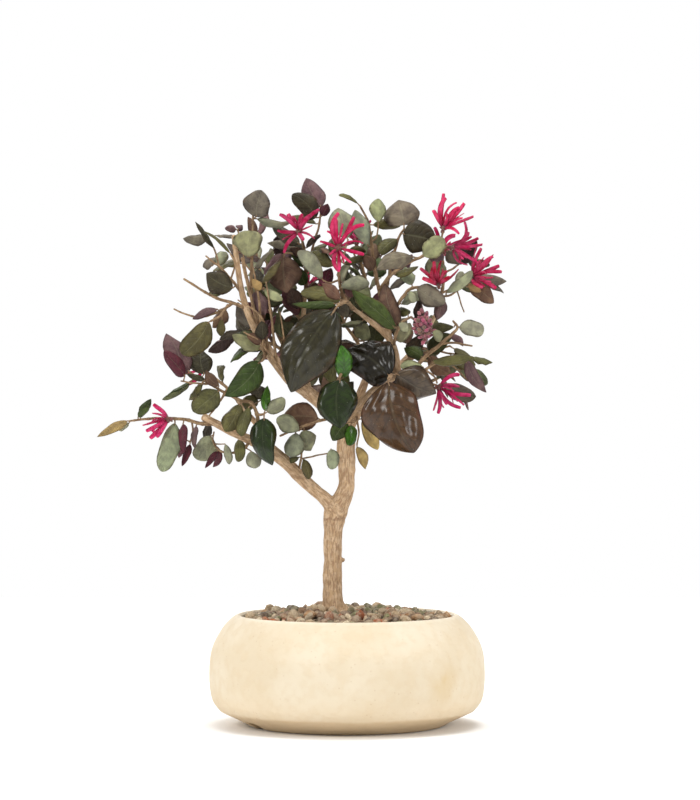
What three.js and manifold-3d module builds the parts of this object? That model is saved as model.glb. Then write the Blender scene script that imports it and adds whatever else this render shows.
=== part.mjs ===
// A flowering fringe-flower bonsai (Loropetalum) in a low round stoneware pot.
// Millimetres, +Z up. The origin is the middle of the pot's base, on the table. The tree's front faces -Y.
//
// The tree is set out on a front elevation: columns run to the right, rows run down, and each step is STEP mm.
// A third number, front, counts steps nearer to the viewer than the pot's axis. seen() turns them into a point.
import * as THREE from "three";
import { mergeVertices } from "three/addons/utils/BufferGeometryUtils.js";
import Module from "manifold-3d";

const wasm = await Module();
wasm.setup();

// Driving dimensions
const STEP = 0.625; // one step of the elevation
const AXIS_COLUMN = 347; // the pot's axis on the elevation
const TABLE_ROW = 724; // the table on the elevation
const SIGHT = { distance: 2000, height: 222, column: 350 }; // where the elevation was seen from
const CLEARANCE = 0.3; // between pieces that touch
const ROOM = 0.42; // that a cut leaves round a faceted stem, for the same clearance on its flats
const SLIVER = 0.08; // narrower faces that a join leaves are merged
const LEAF_THICKNESS = 0.65;
const LEAF_GAP = 1.5; // between the middles of two blades, at least
// Where a leaf's edge has points, as shares of its length, by the leaf's length in mm
const EDGE_STATIONS = [
  { from: 30, shares: [0.12, 0.35, 0.62, 0.86] },
  { from: 17, shares: [0.3, 0.72] },
  { from: 0, shares: [0.48] },
];
const PETIOLE_RADIUS = 0.45;
const PETAL = { width: 2, thickness: 1 };
const HEART = { radius: 2.4, root: 1.8 }; // of a flower head, and how far from its middle the petals start

const COLOURS = {
  pot: { color: 0xe9d9b8, roughness: 0.7, metalness: 0 },
  screen: { color: 0x2a2c2a, roughness: 0.6, metalness: 0 },
  soil: { color: 0x2b211c, roughness: 0.95, metalness: 0 },
  gravel: { color: 0x8d7c68, roughness: 0.9, metalness: 0 },
  bark: { color: 0xab8560, roughness: 0.85, metalness: 0 },
  leaf_green: { color: 0x47502a, roughness: 0.45, metalness: 0 },
  leaf_purple: { color: 0x5a4347, roughness: 0.5, metalness: 0 },
  petal: { color: 0xd0175a, roughness: 0.55, metalness: 0 },
  bud: { color: 0xb04a62, roughness: 0.6, metalness: 0 },
};

// The point at a column and row of the elevation, front steps nearer than the pot's axis.
function seen(column, row, front) {
  const y = -front * STEP;
  const scale = (SIGHT.distance + y) / SIGHT.distance;
  const middle = (SIGHT.column - AXIS_COLUMN) * STEP;
  return new THREE.Vector3(
    middle + (column - SIGHT.column) * STEP * scale,
    y,
    SIGHT.height + ((TABLE_ROW - row) * STEP - SIGHT.height) * scale,
  );
}

// Seeded draws, so that every build is the same.
function draws(seed) {
  let state = seed;
  return (low, high) => {
    state = (state * 1664525 + 1013904223) % 4294967296;
    return low + (state / 4294967296) * (high - low);
  };
}

// A three.js geometry as a solid.
function solidOf(geometry) {
  const bare = geometry.clone();
  bare.deleteAttribute("normal");
  bare.deleteAttribute("uv");
  const merged = mergeVertices(bare, 1e-4);
  return new wasm.Manifold(
    new wasm.Mesh({
      numProp: 3,
      vertProperties: new Float32Array(merged.attributes.position.array),
      triVerts: new Uint32Array(merged.index.array),
    }),
  );
}

// A solid as a three.js geometry.
function geometryOf(solid) {
  const { vertProperties, triVerts } = solid.getMesh();
  return new THREE.BufferGeometry()
    .setAttribute("position", new THREE.BufferAttribute(vertProperties, 3))
    .setIndex(new THREE.BufferAttribute(triVerts, 1));
}

// A closed surface from a list of points and a list of triangles.
function surface(points, faces) {
  return new THREE.BufferGeometry().setFromPoints(points).setIndex(faces.flat());
}

const union = (solids) => wasm.Manifold.union(solids);

// The largest body of a solid, without the scraps that a cut leaves.
function largest(solid) {
  const bodies = solid.decompose();
  return bodies.reduce((a, b) => (b.volume() > a.volume() ? b : a));
}

// Stems

// A stem's centre line as rings of { point, radius }, from stations of [column, row, front, radius] in
// steps.
function stemLine(stations) {
  return stations.map(([column, row, front, radius]) => ({
    point: seen(column, row, front),
    radius: radius * STEP,
  }));
}

// The point at a share of a stem line's length, and the line's direction there.
function pointOn(rings, share) {
  const spans = rings.slice(1).map((ring, i) => ring.point.clone().sub(rings[i].point));
  const lengths = spans.map((span) => span.length());
  const total = lengths.reduce((sum, length) => sum + length, 0);
  let rest = share * total;
  let i = 0;
  while (i + 1 < spans.length && rest > lengths[i]) rest -= lengths[i++];
  const along = spans[i].normalize();
  return { point: rings[i].point.clone().addScaledVector(along, rest), along, total };
}

// A tapered tube round a stem line, with flat cut ends and no twist along it. grow makes it larger all
// round.
function tube(rings, sides, grow = 0) {
  const points = [];
  const faces = [];
  let across = null;
  rings.forEach(({ point, radius }, i) => {
    const before = rings[Math.max(i - 1, 0)].point;
    const after = rings[Math.min(i + 1, rings.length - 1)].point;
    const along = after.clone().sub(before).normalize();
    across ??= Math.abs(along.z) < 0.9 ? new THREE.Vector3(0, 0, 1) : new THREE.Vector3(1, 0, 0);
    across = across.clone().addScaledVector(along, -across.dot(along)).normalize();
    const other = along.clone().cross(across);
    const past = i === 0 ? -grow : i === rings.length - 1 ? grow : 0;
    for (let k = 0; k < sides; k++) {
      const angle = (2 * Math.PI * k) / sides;
      points.push(
        point
          .clone()
          .addScaledVector(along, past)
          .addScaledVector(across, Math.cos(angle) * (radius + grow))
          .addScaledVector(other, Math.sin(angle) * (radius + grow)),
      );
    }
  });
  const ring = (i, k) => i * sides + (k % sides);
  for (let i = 0; i + 1 < rings.length; i++)
    for (let k = 0; k < sides; k++) {
      faces.push([ring(i, k), ring(i, k + 1), ring(i + 1, k + 1)]);
      faces.push([ring(i, k), ring(i + 1, k + 1), ring(i + 1, k)]);
    }
  const last = rings.length - 1;
  for (let k = 1; k + 1 < sides; k++) {
    faces.push([ring(0, 0), ring(0, k + 1), ring(0, k)]);
    faces.push([ring(last, 0), ring(last, k), ring(last, k + 1)]);
  }
  return solidOf(surface(points, faces));
}

// The tree's wood: roots, trunk and branches, each a list of [column, row, front, radius] in steps. A
// branch's first station lies inside the wood that it grows from.
const WOOD = {
  trunk: [
    [334, 642, 0, 12.5], [334, 628, 0, 13.4], [334, 617, 0, 12.4], [333, 603, 0, 10.9], [332.5, 580, 0, 9.7],
    [332.5, 555, 0, 9.2], [333, 532, 0, 9.4], [334, 519, 0, 11.2], [337, 509, 0, 11.6], [343, 497, 0, 9.4],
    [346.5, 484, 0, 8.4], [346.5, 466, 0, 8.7], [346, 448, 0, 9.2], [346, 434, -1, 9.4], [344, 424, -2, 8.2],
  ],
  limb_left: [
    [337, 513, 0, 8.2], [326, 500, 1, 6.9], [312, 487.5, 3, 6.4], [299, 475.5, 5, 6.8], [285, 462, 7, 6.6],
    [272, 451, 9, 6.2], [256, 442.5, 11, 5.4], [238, 434.5, 13, 4.8], [221, 426, 15, 4.4],
    [204, 417.5, 16, 4.2],
  ],
  rise_left: [
    [345, 431, -2, 7.6], [333, 415, -4, 7.2], [320, 402, -6, 7.0], [306, 391, -6, 6.8], [291, 380, -4, 6.2],
    [279, 366, -2, 5.6], [267, 349, 0, 5.0], [256, 330, 3, 4.4], [247, 310, 6, 3.8], [241, 288, 9, 3.3],
    [237, 262, 11, 3.0], [234, 236, 12, 2.8],
  ],
  rise_second: [
    [262, 341, 1, 3.4], [257, 318, -6, 3.0], [252, 298, -6, 2.6], [246, 276, -4, 2.2], [242, 258, -2, 1.9],
  ],
  rise_middle: [
    [308, 393, -6, 4.6], [305, 370, -16, 4.0], [303, 345, -23, 3.5], [303, 320, -26, 3.0],
    [305, 294, -26, 2.5],
  ],
  rise_right: [
    [345, 431, -2, 7.2], [356, 413, 2, 6.4], [369, 397, 8, 5.6], [383, 383, 14, 5.0], [395, 374, 18, 4.4],
    [396, 358, 16, 4.0], [391, 342, 11, 3.6], [381, 330, 7, 3.2], [366, 318, 4, 2.8], [353, 308, 2, 2.4],
    [343, 296, 2, 2.1],
  ],
  rise_crown: [[391, 343, 11, 3.0], [387, 322, 4, 2.8], [382, 300, 0, 2.6], [377, 281, 0, 2.3]],
  reach_right: [[393, 374, 18, 3.6], [404, 372.5, 20, 3.0], [415, 370, 21, 2.5]],
  knuckle: [[347, 428, 2, 4.6], [353, 418, 7, 3.8], [361, 412.5, 9, 3.0]],
  back_crown: [
    [346, 441, -3, 5.6], [352, 416, -22, 5.0], [362, 390, -38, 4.4], [370, 365, -52, 3.8],
    [374, 338, -61, 3.2], [372, 312, -68, 2.6],
  ],
  back_left: [
    [306, 390, -7, 4.4], [297, 371, -28, 3.9], [286, 349, -47, 3.3], [275, 325, -60, 2.8],
    [267, 300, -70, 2.3],
  ],
  back_right: [
    [369, 397, 6, 4.4], [386, 380, -16, 3.9], [405, 360, -36, 3.3], [423, 338, -50, 2.8],
    [436, 314, -58, 2.3],
  ],
  back_low_left: [[273, 451, 8, 4.2], [262, 431, -14, 3.4], [249, 415, -33, 2.8], [238, 401, -46, 2.3]],
  back_middle: [[353, 417, -22, 4.2], [337, 400, -42, 3.4], [326, 379, -57, 2.8], [319, 354, -67, 2.3]],
  back_low_right: [[355, 413, 0, 4.2], [373, 405, -26, 3.4], [393, 397, -46, 2.8], [412, 389, -60, 2.3]],
};
const WOOD_SIDES = { trunk: 10, limb_left: 7, rise_left: 7, rise_right: 6 };
const BRANCH_SIDES = 5;

// Main roots below the gravel: direction in degrees round the trunk, length, drop and thickness in mm.
const ROOTS = { count: 6, start: 20, length: 32, drop: 17, radius: 3.6, tip: 1.2, top: 54 };

// Leafy sprays. Each has stems of [column, row, front, radius] in steps, the first of which starts inside
// the wood, and leaves of [base column, row, front, tip column, row, front, width, roll in degrees,
// finish].
const SPRAYS = {
  hero_left: {
    finish: "leaf_purple",
    stems: [[[353, 309, 1, 2.2], [347, 302, 25, 2.0], [338, 305, 50, 1.8]]],
    leaves: [
      [334, 311, 54, 288, 389, 62, 55, 8, "gloss_dark"],
      [341, 300, 22, 301, 291, 12, 19, 20, "olive"],
      [340, 299, 42, 322, 283, 46, 13, 10, "brown"],
      [336, 304, 30, 292, 304, 22, 12, 35, "green"],
    ],
  },
  hero_right: {
    finish: "leaf_purple",
    stems: [[[393, 374, 18, 2.4], [391, 376, 42, 2.1], [389, 379, 62, 1.9]]],
    leaves: [
      [388, 382, 66, 411, 451, 74, 58, -8, "gloss_brown"],
      [397, 374, 46, 436, 396, 42, 36, 12, "gloss_mauve"],
      [390, 376, 36, 347, 346, 32, 46, 6, "gloss_black"],
      [386, 384, 46, 365, 412, 42, 11, 40, "brown"],
    ],
  },
  hero_middle: {
    finish: "leaf_green",
    stems: [[[331, 413, -4, 2.2], [332, 398, 20, 1.9], [337, 383, 41, 1.7], [341, 374, 47, 1.5]]],
    leaves: [
      [340, 380, 50, 340, 428, 55, 40, 5, "gloss_green"],
      [343, 378, 43, 342, 346, 46, 18, 10, "bright"],
      [334, 388, 28, 323, 352, 22, 15, 20, "olive"],
    ],
  },
  low_tip: {
    finish: "leaf_purple",
    stems: [
      [[214, 424, 16, 2.2], [200, 423.5, 18, 1.9], [184, 419.5, 20, 1.7], [165, 418.5, 22, 1.5],
        [146, 419, 23, 1.3], [130, 421, 24, 1.0]],
      [[192, 422, 19, 1.1], [193, 432, 13, 0.9], [190, 442, 12, 0.8]],
    ],
    leaves: [
      [127, 421, 24, 97, 434, 27, 10, 15, "dry"],
      [129, 423, 22, 118, 430, 14, 7, 0, "sage"],
      [140, 416, 20, 151, 399, 12, 10, 30, "green"],
      [138, 417, 27, 149, 408, 36, 7, 10, "green"],
      [175, 423, 22, 161, 470, 29, 22, 8, "sage"],
      [183, 424, 23, 183, 450, 30, 10, 15, "wine"],
      [196, 426, 20, 194, 447, 27, 8, 25, "mauve"],
      [190, 444, 12, 182, 466, 15, 8, 10, "wine"],
      [186, 440, 8, 178, 461, 2, 7, 20, "wine"],
    ],
  },
  low_under: {
    finish: "leaf_green",
    stems: [[[250, 440, 12, 1.8], [244, 449, 18, 1.4], [232, 453, 20, 1.2], [219, 450, 17, 1.0],
      [213, 441, 9, 0.9], [214, 432, 5, 0.8]]],
    leaves: [
      [211, 436, 7, 197, 460, 12, 24, 5, "sage"],
      [217, 451, 18, 205, 468, 24, 7, 10, "wine"],
      [220, 450, 14, 213, 467, 6, 8, 10, "wine"],
      [225, 444, 23, 229, 464, 30, 9, 15, "sage"],
      [238, 440, 23, 238, 458, 28, 12, 15, "olive"],
      [251, 451, 18, 255, 468, 22, 16, 5, "sage"],
    ],
  },
  mid_left: {
    finish: "leaf_green",
    stems: [
      [[262, 446, 10, 2.4], [259, 430, 18, 2.1], [257, 414, 22, 1.9], [251, 403, 22, 1.8],
        [240, 400, 22, 1.7], [226, 393, 23, 1.5], [210, 384, 25, 1.3], [196, 376, 26, 1.1],
        [188, 371, 26, 0.9]],
      [[210, 384, 25, 1.1], [196, 383.5, 31, 0.9], [181, 381, 33, 0.8]],
      [[257, 415, 22, 1.4], [264, 414, 27, 1.2]],
      [[226, 393, 23, 1.0], [220, 401, 18, 0.8], [214, 408, 16, 0.8]],
    ],
    leaves: [
      [264, 418, 31, 268, 464, 38, 27, 5, "gloss_green"],
      [265, 411, 25, 267, 386, 20, 12, 30, "bright"],
      [267, 412, 22, 285, 399, 16, 15, 10, "sage"],
      [186, 374, 24, 168, 330, 14, 25, 12, "mauve"],
      [185, 376, 30, 164, 351, 36, 15, 10, "wine"],
      [204, 374, 18, 201, 347, 10, 25, 8, "dark"],
      [205, 379, 34, 187, 374, 40, 7, 20, "dark"],
      [219, 386, 29, 206, 371, 36, 11, 10, "brown"],
      [219, 391, 30, 193, 411, 39, 25, 8, "olive"],
      [240, 404, 27, 226, 431, 34, 20, 8, "olive"],
      [244, 398, 18, 257, 405, 8, 17, 10, "olive"],
      [249, 407, 27, 241, 435, 32, 14, 12, "olive"],
      [262, 399, 14, 254, 380, 8, 16, 10, "dark"],
    ],
  },
  limb_right: {
    finish: "leaf_purple",
    stems: [[[335, 417, -2, 1.9], [321, 420.5, 8, 1.5], [300, 427.5, 12, 1.2], [280, 436, 14, 1.0]]],
    leaves: [
      [318, 418, 4, 278, 422, -6, 29, 8, "brown"],
      [299, 431, 17, 279, 417, 24, 19, 10, "sage"],
      [296, 433, 14, 291, 456, 20, 20, 5, "sage"],
      [304, 430, 10, 311, 451, 4, 21, 5, "sage"],
    ],
  },
  limb_small: {
    finish: "leaf_green",
    stems: [
      [[298, 475, 5, 1.5], [300, 463, 11, 1.2], [302, 452, 12, 1.0], [304, 445, 12, 0.8]],
      [[301, 459, 11, 0.9], [316, 455.5, 14, 0.8], [329, 453.5, 15, 0.7]],
    ],
    leaves: [
      [303, 459, 15, 309, 478, 21, 11, 10, "olive"],
      [299, 457, 15, 290, 462, 21, 7, 10, "olive"],
      [331, 449, 17, 332, 467, 20, 14, 5, "sage"],
    ],
  },
  knuckle: {
    finish: "leaf_green",
    stems: [
      [[356, 416, 8, 1.7], [357, 420, 18, 1.4], [352, 422, 22, 1.1]],
      [[357, 420, 18, 1.1], [359, 432, 12, 0.9], [357, 444, 10, 0.8]],
    ],
    leaves: [
      [347, 423, 22, 333, 441, 25, 19, 5, "green"],
      [351, 425, 26, 349, 446, 32, 13, 5, "bright"],
      [357, 447, 8, 367, 470, 4, 11, 10, "dry"],
      [364, 419, 18, 378, 450, 20, 16, 15, "dry"],
    ],
  },
  upper_left: {
    finish: "leaf_purple",
    stems: [
      [[241, 292, 8, 1.7], [231, 279, 15, 1.4], [221, 268, 17, 1.2], [213, 262, 17, 1.0],
        [206, 256, 17, 0.8]],
      [[219, 266, 17, 1.0], [215, 251, 14, 0.9], [209, 240, 12, 0.8]],
      [[231, 279, 15, 1.0], [235, 264, 20, 0.9], [231, 255, 22, 0.8]],
    ],
    leaves: [
      [207, 239, 12, 182, 237, 12, 12, 12, "grey"],
      [214, 248, 20, 195, 222, 24, 10, 60, "dark"],
      [230, 253, 22, 204, 232, 24, 9, 60, "olive"],
      [217, 264, 10, 227, 251, 4, 13, 10, "sage"],
      [212, 266, 10, 204, 258, 2, 17, 10, "grey"],
      [233, 288, 20, 207, 274, 26, 24, 8, "dark"],
    ],
  },
  upper_stub: {
    finish: "leaf_purple",
    stems: [[[235, 241, 12, 1.4], [239, 236, 6, 1.1], [238, 231, 4, 0.9]]],
    leaves: [
      [236, 229, 4, 225, 228, 8, 8, 10, "mauve"],
      [238, 229, 2, 243, 224, -6, 8, 10, "mauve"],
    ],
  },
  upper_pair: {
    finish: "leaf_green",
    stems: [
      [[252, 298, -6, 1.9], [251, 280, 2, 1.7], [252, 258, 4, 1.5], [253, 232, 3, 1.3], [253, 206, 2, 1.0]],
      [[251, 286, 0, 1.1], [257, 288, 8, 1.0], [262, 289, 12, 0.9]],
    ],
    leaves: [
      [248, 257, 12, 251, 231, 15, 30, 3, "lime"],
      [256, 217, 6, 264, 190, 0, 28, 5, "grey"],
      [254, 236, 0, 248, 217, -8, 10, 10, "brown"],
      [257, 219, 2, 290, 227, 0, 14, 50, "sage"],
      [261, 290, 16, 252, 280, 20, 10, 0, "dry"],
      [264, 289, 12, 281, 300, 16, 11, 10, "lime"],
      [258, 289, 4, 258, 268, -4, 15, 10, "dark"],
    ],
  },
  side_twigs: {
    finish: "leaf_green",
    stems: [
      [[247, 309, 6, 1.9], [233, 303, 12, 1.7], [219, 299, 15, 1.5], [205, 292, 17, 1.3],
        [184, 279, 19, 1.1]],
      [[233, 303, 12, 1.5], [220, 311, 19, 1.3], [200, 317, 22, 1.1], [184, 313.5, 22, 0.9],
        [174, 309, 22, 0.8]],
      [[228, 305, 14, 1.3], [220, 316, 26, 1.2], [211, 321, 31, 1.1]],
    ],
    leaves: [
      [209, 322, 33, 183, 354, 39, 25, 5, "olive"],
      [216, 297, 10, 212, 286, 2, 14, 10, "olive"],
      [217, 309, 24, 193, 319, 30, 9, 25, "mauve"],
      [226, 310, 12, 211, 327, 6, 15, 15, "brown"],
      [222, 319, 22, 221, 337, 18, 9, 15, "olive"],
    ],
  },
  left_fork: {
    finish: "leaf_green",
    stems: [
      [[267, 350, 0, 1.8], [265, 357, 12, 1.4], [262, 361, 18, 1.2]],
      [[265, 356, 10, 1.2], [263, 346, 16, 1.0], [263, 340, 18, 0.9]],
    ],
    leaves: [
      [260, 362, 20, 226, 396, 29, 27, 5, "green"],
      [263, 340, 20, 262, 321, 24, 14, 10, "dark"],
      [261, 343, 18, 247, 334, 14, 11, 15, "brown"],
    ],
  },
  top_middle: {
    finish: "leaf_purple",
    stems: [
      [[305, 298, -26, 2.0], [306, 275, -20, 1.8], [305, 256, -10, 1.6], [303, 244, 0, 1.4],
        [299.5, 233, 13.5, 1.2]],
      [[306, 275, -20, 1.4], [313, 247, -20, 1.2], [319, 226, -20, 1.1], [321, 209, -20, 0.9]],
      [[305, 258, -11, 1.1], [293, 254, -10, 1.0], [285, 253, -7, 0.9]],
    ],
    leaves: [
      [321, 207, -20, 306, 178, -24, 24, 5, "mauve"],
      [316, 218, -18, 293, 194, -12, 21, 5, "dark"],
      [322, 216, -14, 328, 204, -10, 11, 10, "wine"],
      [316, 224, -24, 289, 216, -30, 11, 45, "olive"],
      [299, 244, 0, 271, 224, -8, 14, 10, "dark"],
      [296, 250, -12, 267, 243, -18, 11, 15, "grey"],
      [284, 256, -5, 285, 291, 2, 34, 10, "brown"],
      [305, 285, -18, 297, 268, -12, 13, 10, "green"],
      [283, 255, -14, 262, 276, -24, 18, 15, "mauve"],
    ],
  },
  top_centre: {
    finish: "leaf_green",
    stems: [
      [[343, 298, 2, 2.0], [340, 284, 7, 1.7], [338, 268, 14, 1.4], [338, 249, 26, 1.2]],
      [[339, 280, 8, 1.1], [330, 283, 12, 1.0], [324, 281, 13, 0.8]],
      [[341, 288, 7, 1.1], [333, 297, 13, 1.0], [325, 294, 18, 0.8]],
      [[338, 268, 14, 1.1], [344, 254, 6, 0.9], [348, 240, 2, 0.8]],
    ],
    leaves: [
      [322, 279, 13, 298, 251, 18, 16, 5, "sage"],
      [325, 288, 20, 330, 266, 26, 15, 5, "wine"],
      [341, 288, 14, 369, 283, 20, 15, 25, "sage"],
      [333, 266, 8, 309, 249, -2, 16, 10, "olive"],
      [344, 264, 10, 371, 257, 4, 10, 30, "olive"],
      [348, 251, 0, 366, 252, -8, 9, 20, "olive"],
      [347, 238, 0, 339, 206, -6, 27, 5, "sage"],
    ],
  },
  top_stem: {
    finish: "leaf_green",
    stems: [
      [[377, 284, 0, 2.2], [374, 262, -2, 2.0], [371, 240, -2, 1.7], [368, 222, -2, 1.3],
        [360, 206, -2, 0.9]],
      [[371, 242, -2, 1.0], [376, 238, 3, 0.9], [378, 229, 4, 0.8]],
    ],
    leaves: [
      [368, 246, 3, 355, 210, 8, 18, 8, "sage"],
      [358, 204, -2, 341, 193, 0, 8, 60, "olive"],
      [373, 225, -6, 401, 228, -12, 12, 10, "olive"],
      [378, 222, 5, 380, 199, 8, 17, 5, "lime"],
      [373, 270, 4, 365, 256, 10, 13, 10, "brown"],
    ],
  },
  top_right: {
    finish: "leaf_green",
    stems: [
      [[383, 304, 0, 2.0], [387, 286, -7, 1.8], [391, 265, -3, 1.6], [395, 249, 3, 1.5], [399, 237, 7, 1.3],
        [404, 229, 8, 1.1]],
    ],
    leaves: [
      [404, 225, 8, 398, 198, 2, 36, 5, "grey"],
      [397, 239, 12, 379, 253, 17, 15, 12, "olive"],
      [403, 234, 12, 436, 241, 14, 34, 5, "dark"],
    ],
  },
  right_top: {
    finish: "leaf_green",
    stems: [
      [[380, 290, 0, 2.0], [390, 276, 12, 1.8], [406, 264, 19, 1.7], [421, 257, 24, 1.5], [436, 250, 25, 1.4],
        [447, 246, 25, 1.2]],
      [[436, 250, 25, 1.1], [441, 241, 27, 1.0], [443, 230.5, 25.3, 0.9]],
    ],
    leaves: [
      [423, 256, 29, 444, 240, 35, 22, 5, "lime"],
      [413, 257, 12, 379, 269, 24, 18, 8, "grey"],
      [431, 255, 18, 445, 262, 8, 13, 15, "mauve"],
      [447, 251, 18, 461, 266, 12, 14, 10, "grey"],
    ],
  },
  right_middle: {
    finish: "leaf_green",
    stems: [
      [[387, 322, 4, 2.0], [399, 302, 13, 1.8], [410, 289, 17, 1.6], [424, 287, 20, 1.4],
        [436, 288, 22, 1.2]],
      [[424, 287, 20, 1.2], [444, 296, 14, 1.1], [457, 291, 14, 1.0], [471, 278.5, 17.5, 0.9]],
      [[457, 291, 14, 0.8], [461, 303, 12, 0.7], [464, 312, 10, 0.6]],
    ],
    leaves: [
      [417, 288, 24, 443, 302, 30, 22, 8, "grey"],
      [440, 297, 19, 437, 320, 24, 13, 8, "mauve"],
      [446, 293, 20, 472, 272, 28, 12, 25, "sage"],
      [456, 288, 10, 464, 271, 4, 14, 10, "sage"],
      [470, 286, 14, 493, 303, 18, 18, 8, "brown"],
      [468, 285, 24, 481, 292, 30, 9, 10, "dry"],
      [467, 287, 6, 507, 281, 0, 15, 12, "grey"],
      [412, 285, 12, 405, 267, 6, 15, 10, "sage"],
      [409, 291, 22, 414, 302, 27, 10, 10, "sage"],
    ],
  },
  bud_stem: {
    finish: "leaf_purple",
    stems: [[[393, 348, 13, 1.8], [396, 334, 20, 1.6], [403, 322, 24, 1.4], [411, 317, 26, 1.2]]],
    leaves: [
      [395, 328, 26, 352, 290, 33, 18, 10, "green"],
      [396, 326, 18, 386, 283, 12, 21, 5, "brown"],
      [399, 323, 28, 408, 331, 34, 10, 10, "sage"],
      [408, 315, 18, 401, 305, 12, 13, 10, "olive"],
    ],
  },
  right_low: {
    finish: "leaf_green",
    stems: [
      [[414, 370, 21, 2.2], [424, 358, 20, 2.0], [441, 344, 21, 1.8], [457, 329, 22, 1.4],
        [453, 321, 20, 1.0]],
      [[441, 344, 21, 1.3], [456, 343, 18, 1.1], [472, 346, 16, 0.9]],
    ],
    leaves: [
      [454, 327, 18, 427, 329, 14, 11, 12, "olive"],
      [440, 342, 26, 435, 330, 32, 10, 5, "lime"],
      [459, 327, 23, 484, 332, 27, 17, 5, "sage"],
      [422, 357, 16, 404, 348, 8, 14, 10, "green"],
      [429, 357, 14, 452, 375, 6, 17, 15, "brown"],
      [451, 336, 16, 463, 346, 12, 8, 15, "mauve"],
    ],
  },
  right_reach: {
    finish: "leaf_purple",
    stems: [
      [[402, 372.5, 20, 1.9], [413, 377, 27, 1.7], [425, 370, 29, 1.5], [440, 361, 27, 1.4],
        [455, 358, 27, 1.1], [464, 359, 27, 0.9]],
      [[425, 370, 29, 1.2], [434, 376, 24, 1.0], [437, 383, 20, 0.9]],
      [[447, 360, 27, 0.9], [459, 372, 24, 0.8], [472, 383, 22, 0.7]],
    ],
    leaves: [
      [432, 362, 32, 474, 357, 36, 14, 30, "olive"],
      [466, 361, 27, 484, 394, 24, 14, 20, "mauve"],
      [423, 367, 31, 402, 365, 37, 14, 10, "lime"],
    ],
  },
};

// Sprays at the back and in the middle, whose side twigs and leaves follow the rule below. Each is given by
// its stem.
const RULED_SPRAYS = {
  back_crown: [[372, 316, -67, 2.4], [368, 292, -70, 2.0], [362, 266, -70, 1.5], [356, 244, -66, 1.1]],
  back_left: [[268, 304, -69, 2.2], [262, 280, -74, 1.8], [257, 258, -76, 1.3], [256, 240, -74, 1.0]],
  back_right: [[435, 318, -57, 2.2], [441, 296, -62, 1.8], [444, 274, -62, 1.4], [442, 254, -58, 1.0]],
  back_low_left: [[240, 403, -45, 2.2], [228, 389, -54, 1.7], [215, 378, -60, 1.3], [203, 370, -62, 1.0]],
  back_middle: [[319, 357, -66, 2.2], [314, 334, -73, 1.8], [310, 310, -76, 1.4], [308, 288, -74, 1.0]],
  back_low_right: [[410, 390, -59, 2.2], [426, 384, -67, 1.8], [442, 376, -70, 1.4], [456, 368, -70, 1.0]],
  inner_left: [[289, 354, -42, 2.0], [276, 346, -34, 1.7], [262, 340, -30, 1.3], [250, 330, -30, 1.0]],
  inner_right: [[402, 363, -33, 2.0], [418, 356, -26, 1.7], [434, 350, -22, 1.3], [450, 346, -22, 1.0]],
  inner_top: [[370, 365, -52, 2.0], [358, 344, -50, 1.8], [344, 322, -44, 1.4], [338, 302, -42, 1.0]],
  inner_crown: [[303, 322, -26, 2.0], [290, 306, -40, 1.7], [284, 284, -48, 1.3], [282, 262, -50, 1.0]],
};
const RULE = {
  seed: 7,
  twigs: 2, // side twigs on each stem
  twigLength: [22, 34], // steps
  leafLength: [25, 37],
  leafWidth: 0.62, // of its length
  leafSpacing: 27, // steps along a twig
  goldenAngle: 137.508, // degrees from one leaf to the next, round the twig
  finishes: ["olive", "green", "dark", "mauve", "sage", "olive", "brown", "grey"],
};
const CANOPY_MIDDLE = seen(345, 335, -15);

// Flower heads: a heart of [column, row, front] with strap petals to each tip of [column, row, front].
const BLOOMS = {
  bloom_top_left: {
    heart: [299, 232, 15],
    petals: [
      [283, 212, 22], [288, 214, 12], [320, 211, 22], [314, 218, 30], [313, 237, 26], [281, 250, 24],
      [278, 231, 8], [305, 240, 30], [300, 216, 4],
    ],
  },
  bloom_top_middle: {
    heart: [338, 248, 27],
    petals: [
      [331, 215, 24], [336, 219, 36], [351, 216, 30], [361, 222, 34], [365, 255, 34], [352, 262, 42],
      [342, 273, 38], [334, 270, 30], [321, 240, 36],
    ],
  },
  bloom_right_upper: {
    heart: [443, 229, 25],
    petals: [
      [443, 198, 28], [449, 194, 20], [456, 206, 34], [465, 204, 26], [474, 217, 22], [463, 216, 38],
      [448, 213, 40], [458, 232, 40], [436, 212, 14],
    ],
  },
  bloom_right_lower: {
    heart: [452, 247, 25],
    petals: [
      [478, 238, 30], [479, 246, 40], [469, 226, 22], [471, 235, 14], [475, 262, 38], [462, 268, 34],
      [466, 258, 14],
    ],
  },
  bloom_right_end: {
    heart: [472, 277, 18],
    petals: [
      [478, 244, 20], [484, 251, 10], [490, 256, 26], [495, 257, 16], [499, 266, 24], [502, 275, 28],
      [491, 283, 36], [496, 288, 20], [480, 288, 34], [486, 268, 38],
    ],
  },
  bloom_red: {
    heart: [438, 285, 25],
    petals: [
      [420, 269, 28], [424, 279, 36], [434, 262, 30], [442, 261, 22], [446, 270, 36], [457, 268, 28],
      [430, 268, 16], [451, 276, 38],
    ],
  },
  bloom_low_right: {
    heart: [438, 387, 18],
    petals: [
      [458, 372, 26], [459, 385, 22], [471, 393, 18], [465, 401, 26], [453, 403, 14], [446, 404, 32],
      [441, 413, 22], [430, 410, 14], [458, 410, 22],
    ],
  },
  bloom_far_left: {
    heart: [169, 419, 27],
    petals: [
      [151, 408, 31], [154, 412, 38], [143, 426, 29], [147, 433, 36], [150, 438, 28], [156, 439, 40],
      [160, 434, 22],
    ],
  },
};
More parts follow.
